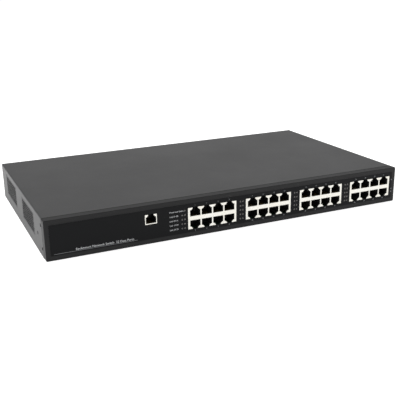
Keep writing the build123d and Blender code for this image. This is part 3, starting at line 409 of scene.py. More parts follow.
@dataclass(frozen=True)
class Finish:
    """A material: its name, colour, gloss and relief."""

    name: str
    colour: Colour
    rough: float = 0.5
    metal: float = 0.0
    specular: float = 0.5
    soft_edge: float = 0.12 * MM
    relief: float = 0.05
    relief_depth: float = 0.1 * MM
    flow_span: Span = (0.3, 0.7)
    gloss_change: Span = (-0.04, 0.06)

    def surface(self, wires: Paint) -> Socket:
        """Wires the colour and the roughness.

        Args:
            wires: The material's wiring.

        Returns:
            The relief's normal.
        """
        raise NotImplementedError

    def build(self, effects: Effects) -> bpy.types.Material:
        """Builds the material.

        Args:
            effects: The shared node groups.

        Returns:
            The finished material.
        """
        material = bpy.data.materials.new(self.name)
        material.use_nodes = True
        wires = Paint(material.node_tree, effects)
        wires.set("Base Color", rgba(self.colour))
        wires.set("Roughness", self.rough)
        wires.set("Metallic", self.metal)
        wires.set("Specular IOR Level", self.specular)
        material.diffuse_color = rgba(self.colour)
        wires.set("Normal", self.surface(wires))
        return material

    def raised(self, wires: Paint, height: Socket) -> Socket:
        """The relief's normal, over edges softened by a small radius."""
        softened = wires.add("Bevel", {"Radius": self.soft_edge}, samples=BEVEL_SAMPLES)
        return wires.bump(height, self.relief, self.relief_depth, softened.outputs[0])

    def toned(self, wires: Paint, share: Socket, change: float) -> Socket:
        """The colour, carried by a share to a darker or lighter tint of itself."""
        return wires.mix(share, rgba(self.colour), rgba(tint(self.colour, change)))

    def vary_gloss(self, wires: Paint, value: Socket) -> None:
        """Makes the roughness follow a value, from its smoothest to its dullest."""
        smooth, dull = (self.rough + change for change in self.gloss_change)
        wires.gloss(wires.ramp(value, *self.flow_span, smooth, dull))


@dataclass(frozen=True)
class PowderCoat(Finish):
    """Baked powder coat on sheet steel."""

    relief: float = 0.07
    relief_depth: float = 0.25 * MM
    grain: float = 1500.0
    lighter: float = 2.6
    fleck: float = 0.3
    clouds: float = 0.07
    cloud_gloss: float = 0.05
    scuffs: float = 0.14
    # How much the edges are rubbed and lit by painted highlight, and how far it reaches.
    wear_and_highlight: float = 0.3
    wear_and_highlight_reach: float = 0.7 * MM
    # The seam's painted shade: its width, depth, tint and dulling.
    seam_width: float = 0.9 * MM
    seam_depth: float = 0.75
    seam_tint: float = 0.1
    seam_dull: float = 0.4

    def surface(self, wires: Paint) -> Socket:
        """Wires a pebbled skin with flecks, slow clouds, scuffs, rubbed edges lightened as a painted
        highlight, and a seam darkened by dust and painted shade.

        Args:
            wires: The material's wiring.

        Returns:
            The relief's normal.
        """
        place, shared = wires.place(), wires.effects
        skin = wires.use(shared.texture, Place=place, Grain=self.grain, Fleck=self.fleck)
        marks = wires.use(shared.handling, Place=place, Clouds=self.clouds, Scuffs=self.scuffs)
        # Rubbed edges, lightened also as a painted highlight along them.
        worn_and_highlit = wires.use(shared.wear_and_highlight, Place=place, Reach=self.wear_and_highlight_reach, Amount=self.wear_and_highlight)
        seam = wires.use(shared.seam, Place=place, Seam=shared.landmarks.seam_y, Width=self.seam_width)
        clouding = marks.outputs["Clouding"]
        lift = wires.maths("ADD", skin.outputs["Flecks"], clouding)
        lift = wires.maths("ADD", lift, marks.outputs["Scuffing"])
        lift = wires.maths("ADD", lift, worn_and_highlit.outputs["WearAndHighlight"])
        # Painted shade, with some dust, darkens the coat along the bezel seam.
        shade = wires.maths("MULTIPLY", seam.outputs["Shade"], self.seam_depth)
        coat = self.toned(wires, lift, self.lighter)
        wires.colour(wires.mix(shade, coat, rgba(tint(self.colour, self.seam_tint))))
        gloss = wires.ramp(clouding, 0.0, self.clouds, self.rough, self.rough - self.cloud_gloss)
        wires.gloss(wires.maths("ADD", gloss, wires.maths("MULTIPLY", shade, self.seam_dull)))
        return self.raised(wires, skin.outputs["Height"])


@dataclass(frozen=True)
class PunchedCoat(PowderCoat):
    """Powder coat on punched sheet, with painted shade darkening the walls of its holes nearly to black."""

    # Painted shade on the hole walls: its strength, tint, roughness and the normals where it starts and is
    # full.
    wall_painted_shade: float = 0.92
    wall_shade_tint: float = 0.05
    wall_rough: float = 1.0
    wall_start: float = 0.55
    wall_full: float = 0.85

    def surface(self, wires: Paint) -> Socket:
        """Wires the coat, with painted shade on the walls of the holes.

        Args:
            wires: The material's wiring.

        Returns:
            The relief's normal.
        """
        relief = super().surface(wires)
        coat = wires.shader.inputs["Base Color"].links[0].from_socket
        # Painted shade: faces that turn away from X, as the walls of the side vents' holes do, go nearly
        # black.
        across, _, _ = wires.axes(wires.add("NewGeometry").outputs["True Normal"])
        wall = wires.ramp(wires.maths("ABSOLUTE", across), self.wall_full, self.wall_start)
        shade = wires.maths("MULTIPLY", wall, self.wall_painted_shade)
        wires.colour(wires.mix(shade, coat, rgba(tint(self.colour, self.wall_shade_tint))))
        wires.gloss(wires.ramp(wall, 0.0, 1.0, self.rough, self.wall_rough))
        return relief


@dataclass(frozen=True)
class PrintedFilm(Finish):
    """A matt polyester film with a fine velvet texture."""

    relief: float = 0.03
    relief_depth: float = 0.08 * MM
    grain: float = 5200.0
    fleck: float = 0.12
    clouds: float = 0.15
    cloud_gloss: float = 0.06
    scuffs: float = 0.2
    lighter: float = 2.2

    def surface(self, wires: Paint) -> Socket:
        """Wires a velvet grain with faint handling marks.

        Args:
            wires: The material's wiring.

        Returns:
            The relief's normal.
        """
        place = wires.place()
        skin = wires.use(wires.effects.texture, Place=place, Grain=self.grain, Fleck=self.fleck)
        marks = wires.use(wires.effects.handling, Place=place, Clouds=self.clouds, Scuffs=self.scuffs)
        lift = wires.maths("ADD", skin.outputs["Flecks"], marks.outputs["Scuffing"])
        wires.colour(self.toned(wires, lift, self.lighter))
        clouding = marks.outputs["Clouding"]
        wires.gloss(wires.ramp(clouding, 0.0, self.clouds, self.rough, self.rough - self.cloud_gloss))
        return self.raised(wires, skin.outputs["Height"])


@dataclass(frozen=True)
class Moulded(Finish):
    """Injection-moulded plastic."""

    relief: float = 0.04
    grain: float = 2600.0
    shade: float = 0.8
    shade_span: Span = (0.35, 0.65)

    def surface(self, wires: Paint) -> Socket:
        """Wires a fine skin and slow flow clouds.

        Args:
            wires: The material's wiring.

        Returns:
            The relief's normal.
        """
        skin = wires.use(wires.effects.moulding, Place=wires.place(), Grain=self.grain)
        share = wires.ramp(skin.outputs["Flow"], *self.shade_span)
        wires.colour(self.toned(wires, share, self.shade))
        self.vary_gloss(wires, skin.outputs["Flow"])
        return self.raised(wires, skin.outputs["Height"])


@dataclass(frozen=True)
class TwoShot(Finish):
    """A cream moulded face over a black moulded body, as on ganged sockets."""

    relief: float = 0.03
    grain: float = 2200.0
    body: Colour = (0.004, 0.004, 0.004)
    body_rough: float = 0.6
    face_depth: float = 0.25 * MM
    blend: float = 0.03 * MM
    warmth: Colour = (1.0, 0.98, 0.94)

    def surface(self, wires: Paint) -> Socket:
        """Wires cream down to the face's depth, and black behind it.

        Args:
            wires: The material's wiring.

        Returns:
            The relief's normal.
        """
        place = wires.place()
        skin = wires.use(wires.effects.moulding, Place=place, Grain=self.grain)
        _, depth, _ = wires.axes(place)
        edge = wires.effects.landmarks.face_y + self.face_depth
        behind = wires.ramp(depth, edge - self.blend, edge + self.blend)
        shade = wires.ramp(skin.outputs["Flow"], *self.flow_span)
        warmer = tuple(channel * share for channel, share in zip(self.colour, self.warmth))
        face = wires.mix(shade, rgba(self.colour), rgba(warmer))
        wires.colour(wires.mix(behind, face, rgba(self.body)))
        wires.gloss(wires.ramp(behind, 0.0, 1.0, self.rough, self.body_rough))
        return self.raised(wires, skin.outputs["Height"])


@dataclass(frozen=True)
class BareMetal(Finish):
    """Plated or drawn metal."""

    relief_depth: float = 0.03 * MM
    gloss_change: Span = (-0.06, 0.1)
    stain: Colour = (0.4, 0.39, 0.36)
    stain_span: Span = (0.4, 0.75)
    stain_share: float = 0.55

    def surface(self, wires: Paint) -> Socket:
        """Wires drawn lines with a slow stain that dulls them.

        Args:
            wires: The material's wiring.

        Returns:
            The relief's normal.
        """
        lines = wires.use(wires.effects.brushing, Place=wires.place())
        share = wires.ramp(lines.outputs["Stain"], *self.stain_span, 0.0, self.stain_share)
        wires.colour(wires.mix(share, rgba(self.colour), rgba(self.stain)))
        self.vary_gloss(wires, lines.outputs["Lines"])
        return self.raised(wires, lines.outputs["Lines"])


@dataclass(frozen=True)
class ClearPipe(Finish):
    """A moulded light pipe: milky clear plastic, unlit."""

    relief_depth: float = 0.05 * MM
    grain: float = 3000.0
    lighter: float = 1.4
    clear: float = 0.35
    refraction: float = 1.49

    def surface(self, wires: Paint) -> Socket:
        """Wires a milky body with a fine skin.

        Args:
            wires: The material's wiring.

        Returns:
            The relief's normal.
        """
        skin = wires.use(wires.effects.moulding, Place=wires.place(), Grain=self.grain)
        milky = wires.ramp(skin.outputs["Flow"], *self.flow_span)
        wires.colour(self.toned(wires, milky, self.lighter))
        wires.set("Transmission Weight", self.clear)
        wires.set("IOR", self.refraction)
        return wires.bump(skin.outputs["Height"], self.relief, self.relief_depth)


@dataclass(frozen=True)
class CircuitBoard(Finish):
    """Solder mask over copper tracks, with tinned pads."""

    relief: float = 0.4
    relief_depth: float = 0.04 * MM
    track: Colour = (0.005, 0.02, 0.009)
    track_scale: float = 320.0
    track_bands: float = 6.0
    track_span: Span = (0.45, 0.55)
    pad: Colour = (0.3, 0.29, 0.26)
    pad_scale: float = 190.0
    pad_span: Span = (0.16, 0.13)
    pad_rough: float = 0.3

    def surface(self, wires: Paint) -> Socket:
        """Wires tracks from blocky cells, pads from scattered points, and a glossy mask.

        Args:
            wires: The material's wiring.

        Returns:
            The relief's normal.
        """
        flat = wires.stretch(wires.place(), (1.0, 1.0, 0.0))
        blocks = wires.add("TexVoronoi", {"Vector": flat, "Scale": self.track_scale}, distance="CHEBYCHEV")
        bands = wires.maths("MULTIPLY", blocks.outputs["Distance"], self.track_bands)
        tracks = wires.ramp(wires.maths("PINGPONG", bands, 1.0), *self.track_span)
        points = wires.add("TexVoronoi", {"Vector": flat, "Scale": self.pad_scale})
        dots = wires.ramp(points.outputs["Distance"], *self.pad_span)
        mask = wires.mix(tracks, rgba(self.colour), rgba(self.track))
        wires.colour(wires.mix(dots, mask, rgba(self.pad)))
        wires.gloss(wires.ramp(dots, 0.0, 1.0, self.rough, self.pad_rough))
        return self.raised(wires, tracks)


@dataclass(frozen=True)
class Ink(Finish):
    """Screen-printed ink."""

    relief: float = 0.1
    relief_depth: float = 0.02 * MM
    grain: float = 5000.0
    thin: float = 0.78
    thin_span: Span = (0.4, 0.7)

    def surface(self, wires: Paint) -> Socket:
        """Wires a slightly uneven lay of ink.

        Args:
            wires: The material's wiring.

        Returns:
            The relief's normal.
        """
        skin = wires.use(wires.effects.moulding, Place=wires.place(), Grain=self.grain)
        share = wires.ramp(skin.outputs["Height"], *self.thin_span)
        wires.colour(self.toned(wires, share, self.thin))
        return wires.bump(skin.outputs["Height"], self.relief, self.relief_depth)


@dataclass(frozen=True)
class WireSleeve(Finish):
    """Soft insulation on wires, in colours that change from wire to wire across X."""

    grain: float = 1800.0
    second: Colour = (0.02, 0.02, 0.022)
    band: float = 4.0 * MM
    band_span: Span = (0.45, 0.55)

    def surface(self, wires: Paint) -> Socket:
        """Wires bands of two colours by place, with a waxy skin.

        Args:
            wires: The material's wiring.

        Returns:
            The relief's normal.
        """
        place = wires.place()
        skin = wires.use(wires.effects.moulding, Place=place, Grain=self.grain)
        across, _, _ = wires.axes(place)
        side = wires.maths("PINGPONG", wires.maths("DIVIDE", across, self.band), 1.0)
        share = wires.ramp(side, *self.band_span)
        wires.colour(wires.mix(share, rgba(self.colour), rgba(self.second)))
        return wires.bump(skin.outputs["Height"], self.relief, self.relief_depth)


class Coat(Enum):
    """The finishes, each by the piece or stuff that it covers."""

    CASE = PowderCoat("case powder coat", (0.0155, 0.0155, 0.016), 0.5, specular=0.4)
    BEZEL = PowderCoat("bezel powder coat", (0.0062, 0.0062, 0.0066), 0.52, specular=0.2)
    MESH = PunchedCoat("vent powder coat", (0.0105, 0.0105, 0.011), 0.54, specular=0.2)
    FILM = PrintedFilm("front film", (0.002, 0.0022, 0.0027), 0.42, specular=0.11, soft_edge=0.05 * MM)
    SOCKET = TwoShot("socket housing", (0.76, 0.75, 0.7), 0.42)
    # The gold and its stain are darkened far below bare gold: painted shade inside the sockets.
    CONTACT = BareMetal("gold spring wire", (0.16, 0.115, 0.045), 0.4, 1.0, stain=(0.08, 0.055, 0.025))
    SHIELD = BareMetal("tinned shell", (0.5, 0.5, 0.485), 0.36, 1.0)
    ZINC = BareMetal("zinc plate", (0.52, 0.52, 0.5), 0.36, 1.0)
    BLACK_SCREW = BareMetal("black oxide", (0.035, 0.035, 0.037), 0.42, 0.8, stain=(0.06, 0.055, 0.05))
    PIPE = ClearPipe("light pipe", (0.07, 0.064, 0.06), 0.35)
    LAMP = Moulded("lamp body", (0.7, 0.66, 0.5), 0.3)
    BOARD = CircuitBoard("circuit board", (0.0025, 0.009, 0.0045), 0.42, specular=0.25)
    BLACK = Moulded("black plastic", (0.012, 0.012, 0.013), 0.42, specular=0.4)
    ROCKER = Moulded("rocker plastic", (0.009, 0.009, 0.01), 0.28)
    SINK = BareMetal("satin aluminium", (0.6, 0.61, 0.62), 0.38, 1.0)
    FERRITE = Moulded("ferrite", (0.035, 0.034, 0.034), 0.6, shade=0.7)
    SLEEVE = WireSleeve("wire sleeve", (0.3, 0.02, 0.015), 0.45)
    INK = Ink("grey ink", (0.46, 0.47, 0.48), 0.5)
    WHITE_INK = Ink("white ink", (0.8, 0.8, 0.8), 0.5)
    FAINT_INK = Ink("faint ink", (0.2, 0.205, 0.215), 0.5)


class Wardrobe:
    """Every finish, built once and handed out."""

    def __init__(self, landmarks: Landmarks) -> None:
        """Builds the shared groups and all the finishes.

        Args:
            landmarks: The places that finishes are set out from.
        """
        effects = Effects(landmarks)
        self.materials = {coat: coat.value.build(effects) for coat in Coat}

    def dress(self, coat: Coat, *nodes: str) -> None:
        """Puts one finish on CAD nodes.

        Args:
            coat: The finish.
            nodes: The nodes' names.
        """
        for node in nodes:
            piece = bpy.data.objects[node]
            piece.data.materials.clear()
            piece.data.materials.append(self.materials[coat])
            log.info("%s wears %s", node, coat.value.name)

    def finish_piece(self, piece: bpy.types.Object, coat: Coat, slot: str, body: str = CHASSIS) -> None:
        """Gives a new piece its finish and its body.

        Args:
            piece: The piece.
            coat: The finish.
            slot: The record's material slot, which is not used.
            body: The body that it rides on.
        """
        piece.data.materials.clear()
        piece.data.materials.append(self.materials[coat])
        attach(piece, body)
        log.info("%s wears %s", piece.name, coat.value.name)


def link_mesh(name: str, shape: bmesh.types.BMesh) -> bpy.types.Object:
    """Makes an object at the origin from a bmesh, which is then freed.

    Args:
        name: The object's name.
        shape: The bmesh.

    Returns:
        The object.
    """
    mesh = bpy.data.meshes.new(name)
    bmesh.ops.recalc_face_normals(shape, faces=shape.faces)
    shape.to_mesh(mesh)
    shape.free()
    piece = bpy.data.objects.new(name, mesh)
    bpy.context.scene.collection.objects.link(piece)
    return piece


def add_bar(shape: bmesh.types.BMesh, middle: Sequence[float], size: Sequence[float]) -> None:
    """Adds a straight bar by its middle and its size.

    Args:
        shape: The bmesh to add to.
        middle: The bar's middle.
        size: Its length along X, Y and Z.
    """
    place = Matrix.Translation(middle) @ Matrix.Diagonal((*size, 1.0))
    bmesh.ops.create_cube(shape, size=1.0, matrix=place)


def add_prism(shape: bmesh.types.BMesh, sides: int, radii: Sequence[float], height: float) -> None:
    """Adds a flat ring or plate with equal sides, on X and Y, its faces in the same order each run.

    Args:
        shape: The bmesh to add to.
        sides: How many sides it has.
        radii: Its radius, and the radius of its hole if it has one.
        height: Its thickness.
    """
    if len(radii) == 1:
        rim = bmesh.ops.create_circle(shape, cap_ends=True, segments=sides, radius=radii[0])["verts"]
        flat = list(dict.fromkeys(face for vert in rim for face in vert.link_faces))
    else:
        rims = [bmesh.ops.create_circle(shape, segments=sides, radius=radius)["verts"] for radius in radii]
        edges = list(dict.fromkeys(edge for rim in rims for vert in rim for edge in vert.link_edges))
        flat = bmesh.ops.bridge_loops(shape, edges=edges)["faces"]
    raised = bmesh.ops.extrude_face_region(shape, geom=flat)["geom"]
    lifted = [item for item in raised if isinstance(item, bmesh.types.BMVert)]
    bmesh.ops.translate(shape, vec=(0.0, 0.0, height), verts=lifted)
    ordered = sorted(shape.faces, key=lambda face: face.calc_center_median().to_tuple())
    for index, face in enumerate(ordered):
        face.index = index
    shape.faces.sort()


class Align(Enum):
    """Where printed words start from."""

    START = "LEFT"
    MIDDLE = "CENTER"


@dataclass
class Printing:
    """Words and marks printed in raised ink."""

    lift: float = 0.012 * MM
    raised: float = 0.01 * MM
    curve_steps: int = 2

    def words(
        self,
        name: str,
        text: str,
        size: float,
        place: Vector,
        align: Align = Align.START,
        weight: float = 0.0,
    ) -> bpy.types.Object:
        """Prints words on a face that looks to the front.

        Args:
            name: The piece's name.
            text: What they say.
            size: The height of a line.
            place: Where the line starts, or its middle.
            align: Whether the place is the start or the middle.
            weight: How much the strokes are thickened.

        Returns:
            The words as a mesh piece at the origin.
        """
        curve = bpy.data.curves.new(name, "FONT")
        curve.body = text
        curve.size = size
        curve.align_x = align.value
        curve.align_y = "CENTER"
        curve.extrude = self.raised
        curve.offset = weight
        curve.resolution_u = self.curve_steps
        holder = bpy.data.objects.new(name + "_curve", curve)
        bpy.context.scene.collection.objects.link(holder)
        bpy.context.view_layer.update()
        graph = bpy.context.evaluated_depsgraph_get()
        mesh = bpy.data.meshes.new_from_object(holder.evaluated_get(graph))
        bpy.data.objects.remove(holder)
        mesh.name = name
        upright = Matrix.Rotation(math.radians(90), 4, "X")
        mesh.transform(Matrix.Translation(place) @ upright)
        piece = bpy.data.objects.new(name, mesh)
        bpy.context.scene.collection.objects.link(piece)
        return piece

    def mark(self, name: str, shape: bmesh.types.BMesh, place: Vector, facing: Vector) -> bpy.types.Object:
        """Lays a mark that was drawn on X and Y on a face, with its Y upwards.

        Args:
            name: The piece's name.
            shape: The mark.
            place: The point on the face.
            facing: The face's normal.

        Returns:
            The mark as a mesh piece at the origin.
        """
        turn = facing.to_track_quat("Z", "Y").to_matrix().to_4x4()
        bmesh.ops.transform(shape, matrix=Matrix.Translation(place) @ turn, verts=shape.verts)
        return link_mesh(name, shape)


def touch(node: str, start: Vector, way: Vector) -> tuple[Vector, Vector]:
    """Finds where a straight line first meets a CAD node.

    Args:
        node: The node's name.
        start: Where the line starts.
        way: Its direction.

    Returns:
        The point on the node, and the surface's normal there.
    """
    met, point, normal, _ = bpy.data.objects[node].ray_cast(start, way)
    if not met:
        raise ValueError(f"nothing of {node} lies that way")
    return point, normal


@dataclass
class Casing:
    """The case's sheet metal, its punched trays, screws and nuts."""

    wardrobe: Wardrobe

    def build(self) -> None:
        """Dresses the case."""
        self.wardrobe.dress(Coat.CASE, "top_cover", "base_pan")
        self.wardrobe.dress(Coat.BEZEL, "front_bezel")
        self.wardrobe.dress(Coat.MESH, "vent_grille_front", "vent_grille_rear")
        self.wardrobe.dress(Coat.MESH, "fan_guard_front", "fan_guard_rear")
        self.wardrobe.dress(Coat.BLACK_SCREW, "cover_screws", "ear_nuts")
        self.wardrobe.dress(Coat.ZINC, "bezel_screws")


@dataclass
class FrontPanel:
    """The printed film, its legends and the row marks."""

    wardrobe: Wardrobe
    printing: Printing
    landmarks: Landmarks
    legend_start: float = 31.0 * MM
    legend_height: float = 8.9 * MM
    legend_size: float = 3.55 * MM
    rule_start: float = 8.5 * MM
    rule_end: float = 98.0 * MM
    rule_height: float = 6.95 * MM
    rule_width: float = 0.3 * MM
    label_start: float = 135.2 * MM
    label_size: float = 2.35 * MM
    number_size: float = 2.1 * MM
    number_gap: float = 2.3 * MM
    weight: float = 0.012 * MM
    socket_pitch: float = 13.97 * MM
    sockets_in_row: int = 4
    row_mark_gap: float = 4.2 * MM
    row_mark_radius: float = 1.0 * MM
    row_mark_heights: Sequence[float] = (28.6 * MM, 17.2 * MM, 13.4 * MM)
    legend: str = "Rackmount Network Switch  32 Data Ports"
    labels: Sequence[str] = ("Power and status", "Link 01-08", "Link 09-16", "Link 17-24", "Link 25-32")

    def build(self) -> None:
        """Dresses the film and prints on it."""
        self.wardrobe.dress(Coat.FILM, "front_overlay")
        self.print_legend()
        self.print_labels()
        self.print_port_numbers()
        self.print_row_marks()

    def spot(self, across: float, height: float) -> Vector:
        """The point just off the film at a distance along X and a height."""
        return Vector((across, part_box("front_overlay")[0].y - self.printing.lift, height))

    def ink(self, piece: bpy.types.Object, coat: Coat = Coat.INK) -> None:
        """Gives a print its ink."""
        self.wardrobe.finish_piece(piece, coat, "panel_film")

    def print_legend(self) -> None:
        """The words at the lower left, over a thin rule."""
        left = self.landmarks.left_x
        place = self.spot(left + self.legend_start, self.legend_height)
        words = self.printing.words("front_legend", self.legend, self.legend_size, place, weight=self.weight)
        self.ink(words)
        rule = bmesh.new()
        middle = self.spot(left + (self.rule_start + self.rule_end) / 2, self.rule_height)
        add_bar(rule, middle, (self.rule_end - self.rule_start, self.printing.raised, self.rule_width))
        self.ink(link_mesh("front_rule", rule), Coat.FAINT_INK)

    def print_labels(self) -> None:
        """A label beside each row of indicators."""
        for row, (label, height) in enumerate(zip(self.labels, indicator_heights()), start=1):
            place = self.spot(self.landmarks.left_x + self.label_start, height)
            name = f"row_label_{row}"
            self.ink(self.printing.words(name, label, self.label_size, place, weight=self.weight))

    def print_port_numbers(self) -> None:
        """A number above or below every socket."""
        for bank in Sockets.banks:
            low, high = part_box(f"port_block_{bank}")
            first = (low.x + high.x - (self.sockets_in_row - 1) * self.socket_pitch) / 2
            rows = (high.z + self.number_gap, low.z - self.number_gap)
            for column in range(self.sockets_in_row):
                for row, height in enumerate(rows):
                    number = ((bank - 1) * self.sockets_in_row + column) * len(rows) + row + 1
                    place = self.spot(first + column * self.socket_pitch, height)
                    words = (f"port_number_{number}", str(number), self.number_size, place, Align.MIDDLE)
                    self.ink(self.printing.words(*words), Coat.FAINT_INK)

    def print_row_marks(self) -> None:
        """Small arrows to the right of the last sockets, up for the upper row and down for the lower."""
        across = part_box(f"port_block_{Sockets.banks[-1]}")[1].x + self.row_mark_gap
        for row, height in enumerate(self.row_mark_heights):
            arrow = bmesh.new()
            add_prism(arrow, 3, (self.row_mark_radius,), self.printing.raised)
            turn = 0.0 if row == 0 else math.pi
            bmesh.ops.rotate(arrow, matrix=Matrix.Rotation(turn, 3, "Z"), verts=arrow.verts)
            name = f"row_mark_{row + 1}"
            place = self.spot(across, height)
            self.ink(self.printing.mark(name, arrow, place, Vector((0.0, -1.0, 0.0))), Coat.FAINT_INK)


def indicator_heights() -> list[float]:
    """The heights of the five rows of indicators, from the top.

    Returns:
        The heights, in metres.
    """
    rows = 5
    margin = 1.95 * MM
    low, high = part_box("light_pipes_2")
    top, bottom = high.z - margin, low.z + margin
    return [top - (top - bottom) * row / (rows - 1) for row in range(rows)]


@dataclass
class Sockets:
    """The data and console sockets with their springs, shells and light pipes."""

    wardrobe: Wardrobe
    banks: Sequence[int] = (1, 2, 3, 4)

    def build(self) -> None:
        """Dresses the sockets and the indicators."""
        for bank in self.banks:
            self.wardrobe.dress(Coat.SOCKET, f"port_block_{bank}")
            self.wardrobe.dress(Coat.CONTACT, f"port_contacts_{bank}")
            self.wardrobe.dress(Coat.SHIELD, f"port_shield_{bank}")
            self.wardrobe.dress(Coat.PIPE, f"light_pipes_{bank}")
        self.wardrobe.dress(Coat.SOCKET, "console_jack")
        self.wardrobe.dress(Coat.CONTACT, "console_contacts")
        self.wardrobe.dress(Coat.SHIELD, "console_shield")
        self.wardrobe.dress(Coat.LAMP, "indicator_lamps")


@dataclass
class RearFittings:
    """The mains inlet, the power rocker, the earthing screw and their marks."""

    wardrobe: Wardrobe
    printing: Printing
    landmarks: Landmarks
    mark_size: float = 2.6 * MM
    stroke: float = 0.45 * MM
    round_sides: int = 40
    mark_height: float = 4.0 * MM
    earth_gap: float = 8.5 * MM
    earth_line: float = 0.7
    earth_bars: Sequence[Span] = ((0.0, 0.9), (-0.28, 0.6), (-0.56, 0.3))
    bar_share: float = 1.2
    stem_middle: float = 0.38
    stem_length: float = 0.75
    stand_off: float = 40.0 * MM

    def build(self) -> None:
        """Dresses the rear and marks the rocker and the earthing point."""
        self.wardrobe.dress(Coat.BLACK, "ac_inlet", "rocker_frame")
        self.wardrobe.dress(Coat.ROCKER, "rocker_button")
        self.wardrobe.dress(Coat.SHIELD, "inlet_pins")
        self.wardrobe.dress(Coat.ZINC, "inlet_screws", "ground_screw")
        self.wardrobe.dress(Coat.CONTACT, "switch_terminals")
        self.mark_rocker()
        self.mark_earth()

    def press(
        self, name: str, shape: bmesh.types.BMesh, node: str, across: float, height: float
    ) -> bpy.types.Object:
        """Lays a mark on a rear node.

        Args:
            name: The mark's name.
            shape: The mark, drawn on X and Y.
            node: The node that it lies on.
            across: Its place along X.
            height: Its place along Z.

        Returns:
            The mark.
        """
        start = Vector((across, self.landmarks.rear_y + self.stand_off, height))
        point, normal = touch(node, start, Vector((0.0, -1.0, 0.0)))
        return self.printing.mark(name, shape, point + normal * self.printing.raised / 2, normal)

    def mark_rocker(self) -> None:
        """The on bar and the off ring on the rocker's two faces."""
        low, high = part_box("rocker_button")
        across = (low.x + high.x) / 2
        middle = (low.z + high.z) / 2
        raised = self.printing.raised
        bar = bmesh.new()
        add_bar(bar, (0.0, 0.0, raised / 2), (self.stroke, self.mark_size, raised))
        ring = bmesh.new()
        outer = self.mark_size / 2
        add_prism(ring, self.round_sides, (outer, outer - self.stroke), raised)
        for name, shape, height in (("rocker_on_mark", bar, 1), ("rocker_off_mark", ring, -1)):
            piece = self.press(name, shape, "rocker_button", across, middle + height * self.mark_height)
            self.wardrobe.finish_piece(piece, Coat.WHITE_INK, "dark_plastic", "power_rocker")

    def mark_earth(self) -> None:
        """The earthing sign beside its screw: a stem over three bars that shorten, in a ring."""
        low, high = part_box("ground_screw")
        raised, outer = self.printing.raised, self.mark_size
        line = self.stroke * self.earth_line
        sign = bmesh.new()
        add_prism(sign, self.round_sides, (outer, outer - line), raised)
        add_bar(sign, (0.0, outer * self.stem_middle, raised / 2), (line, outer * self.stem_length, raised))
        for height, length in self.earth_bars:
            add_bar(sign, (0.0, outer * height, raised / 2), (outer * length * self.bar_share, line, raised))
        across = (low.x + high.x) / 2 + self.earth_gap
        piece = self.press("earth_mark", sign, "base_pan", across, (low.z + high.z) / 2)
        self.wardrobe.finish_piece(piece, Coat.INK, "panel_film")


@dataclass
class Fans:
    """The two fans."""

    wardrobe: Wardrobe

    def build(self) -> None:
        """Dresses the fans."""
        self.wardrobe.dress(Coat.BLACK, "fan_frame_front", "fan_frame_rear")
        self.wardrobe.dress(Coat.BLACK, "fan_rotor_front", "fan_rotor_rear")
        self.wardrobe.dress(Coat.ZINC, "fan_screws")


@dataclass
class Insides:
    """The boards and what stands on them."""

    wardrobe: Wardrobe

    def build(self) -> None:
        """Dresses the inside."""
        self.wardrobe.dress(Coat.BOARD, "main_board", "console_board", "supply_board", "indicator_boards")
        self.wardrobe.dress(Coat.ZINC, "standoffs", "board_screws")
        self.wardrobe.dress(Coat.BLACK, "switch_chip", "magnetics")
        self.wardrobe.dress(Coat.SINK, "heat_sink", "capacitors", "supply_reservoirs", "supply_heat_sinks")
        self.wardrobe.dress(Coat.FERRITE, "supply_transformer", "supply_choke")
        self.wardrobe.dress(Coat.SLEEVE, "mains_wires", "supply_cable", "fan_wires")


@dataclass(frozen=True)
class SoftLight:
    """A square soft light: its place, its side and its power in watts. It faces the object."""

    name: str
    place: Point
    side: float
    power: float

    def hang(self) -> None:
        """Hangs the light."""
        lamp = bpy.data.lights.new(self.name, "AREA")
        lamp.size = self.side
        lamp.energy = self.power
        light = bpy.data.objects.new(self.name, lamp)
        light.location = self.place
        light.rotation_euler = (-Vector(self.place)).to_track_quat("-Z", "Y").to_euler()
        bpy.context.scene.collection.objects.link(light)


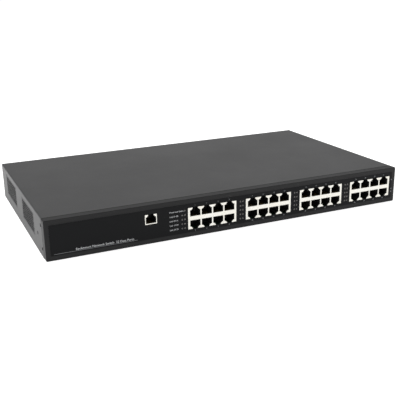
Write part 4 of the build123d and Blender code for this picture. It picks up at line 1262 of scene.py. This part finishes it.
@dataclass
class Studio:
    """The pale floor, the soft light and the camera."""

    floor_size: float = 40.0
    floor_colour: Colour = (0.82, 0.82, 0.82)
    floor_rough: float = 0.9
    floor_glow: float = 0.6
    surround: Colour = (1.0, 1.0, 1.0)
    surround_seen: float = 1.0
    surround_light: float = 0.55
    lens: float = 61.0
    sensor: float = 36.0
    nearest: float = 0.01
    place: Point = (-0.33854, -0.7658, 0.27019)
    yaw: float = -24.34
    pitch: float = 71.96
    roll: float = -0.89
    lights: Sequence[SoftLight] = (
        SoftLight("top_light", (0.1, 0.5, 1.6), 1.4, 9.0),
        SoftLight("left_light", (-1.9, 0.1, 0.75), 1.8, 37.0),
        SoftLight("front_light", (1.3, -1.5, 0.5), 1.3, 13.0),
        SoftLight("rear_light", (1.2, 2.4, 0.8), 2.2, 3.0),
    )

    def build(self) -> None:
        """Sets the studio."""
        bpy.context.scene.view_settings.view_transform = "Standard"
        self.lay_floor()
        self.light_world()
        for light in self.lights:
            light.hang()
        self.set_camera()

    def lay_floor(self) -> None:
        """A matt pale floor with a faint glow of its own."""
        shape = bmesh.new()
        bmesh.ops.create_grid(shape, x_segments=1, y_segments=1, size=self.floor_size / 2)
        floor = link_mesh("studio_floor", shape)
        material = bpy.data.materials.new("pale floor")
        material.use_nodes = True
        shader = material.node_tree.nodes["Principled BSDF"]
        shader.inputs["Base Color"].default_value = rgba(self.floor_colour)
        shader.inputs["Roughness"].default_value = self.floor_rough
        shader.inputs["Specular IOR Level"].default_value = 0.0
        shader.inputs["Emission Color"].default_value = rgba(self.surround)
        shader.inputs["Emission Strength"].default_value = self.floor_glow
        floor.data.materials.append(material)

    def light_world(self) -> None:
        """An even white surround that shows brighter than it lights."""
        world = bpy.data.worlds.new("white surround")
        world.use_nodes = True
        tree = world.node_tree
        wires = Wiring(tree)
        background = tree.nodes["Background"]
        background.inputs["Color"].default_value = rgba(self.surround)
        seen = wires.add("LightPath").outputs["Is Camera Ray"]
        strength = wires.ramp(seen, 0.0, 1.0, self.surround_light, self.surround_seen)
        wires.feed(strength, background.inputs["Strength"])
        bpy.context.scene.world = world

    def set_camera(self) -> None:
        """The camera, by its place and its turns about the upright, across and view axes."""
        optics = bpy.data.cameras.new("camera")
        optics.lens = self.lens
        optics.sensor_width = self.sensor
        optics.clip_start = self.nearest
        camera = bpy.data.objects.new("camera", optics)
        turned = Matrix.Identity(4)
        for angle, axis in ((self.yaw, "Z"), (self.pitch, "X"), (self.roll, "Z")):
            turned = turned @ Matrix.Rotation(math.radians(angle), 4, axis)
        camera.matrix_world = Matrix.Translation(self.place) @ turned
        bpy.context.scene.collection.objects.link(camera)
        bpy.context.scene.camera = camera


def main() -> None:
    """Builds the scene in order."""
    logging.basicConfig(level=logging.INFO, format="%(name)s: %(message)s")
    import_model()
    landmarks = Landmarks.read()
    wardrobe = Wardrobe(landmarks)
    printing = Printing()
    Studio().build()
    Casing(wardrobe).build()
    FrontPanel(wardrobe, printing, landmarks).build()
    Sockets(wardrobe).build()
    RearFittings(wardrobe, printing, landmarks).build()
    Fans(wardrobe).build()
    Insides(wardrobe).build()


if __name__ == "__main__":
    main()
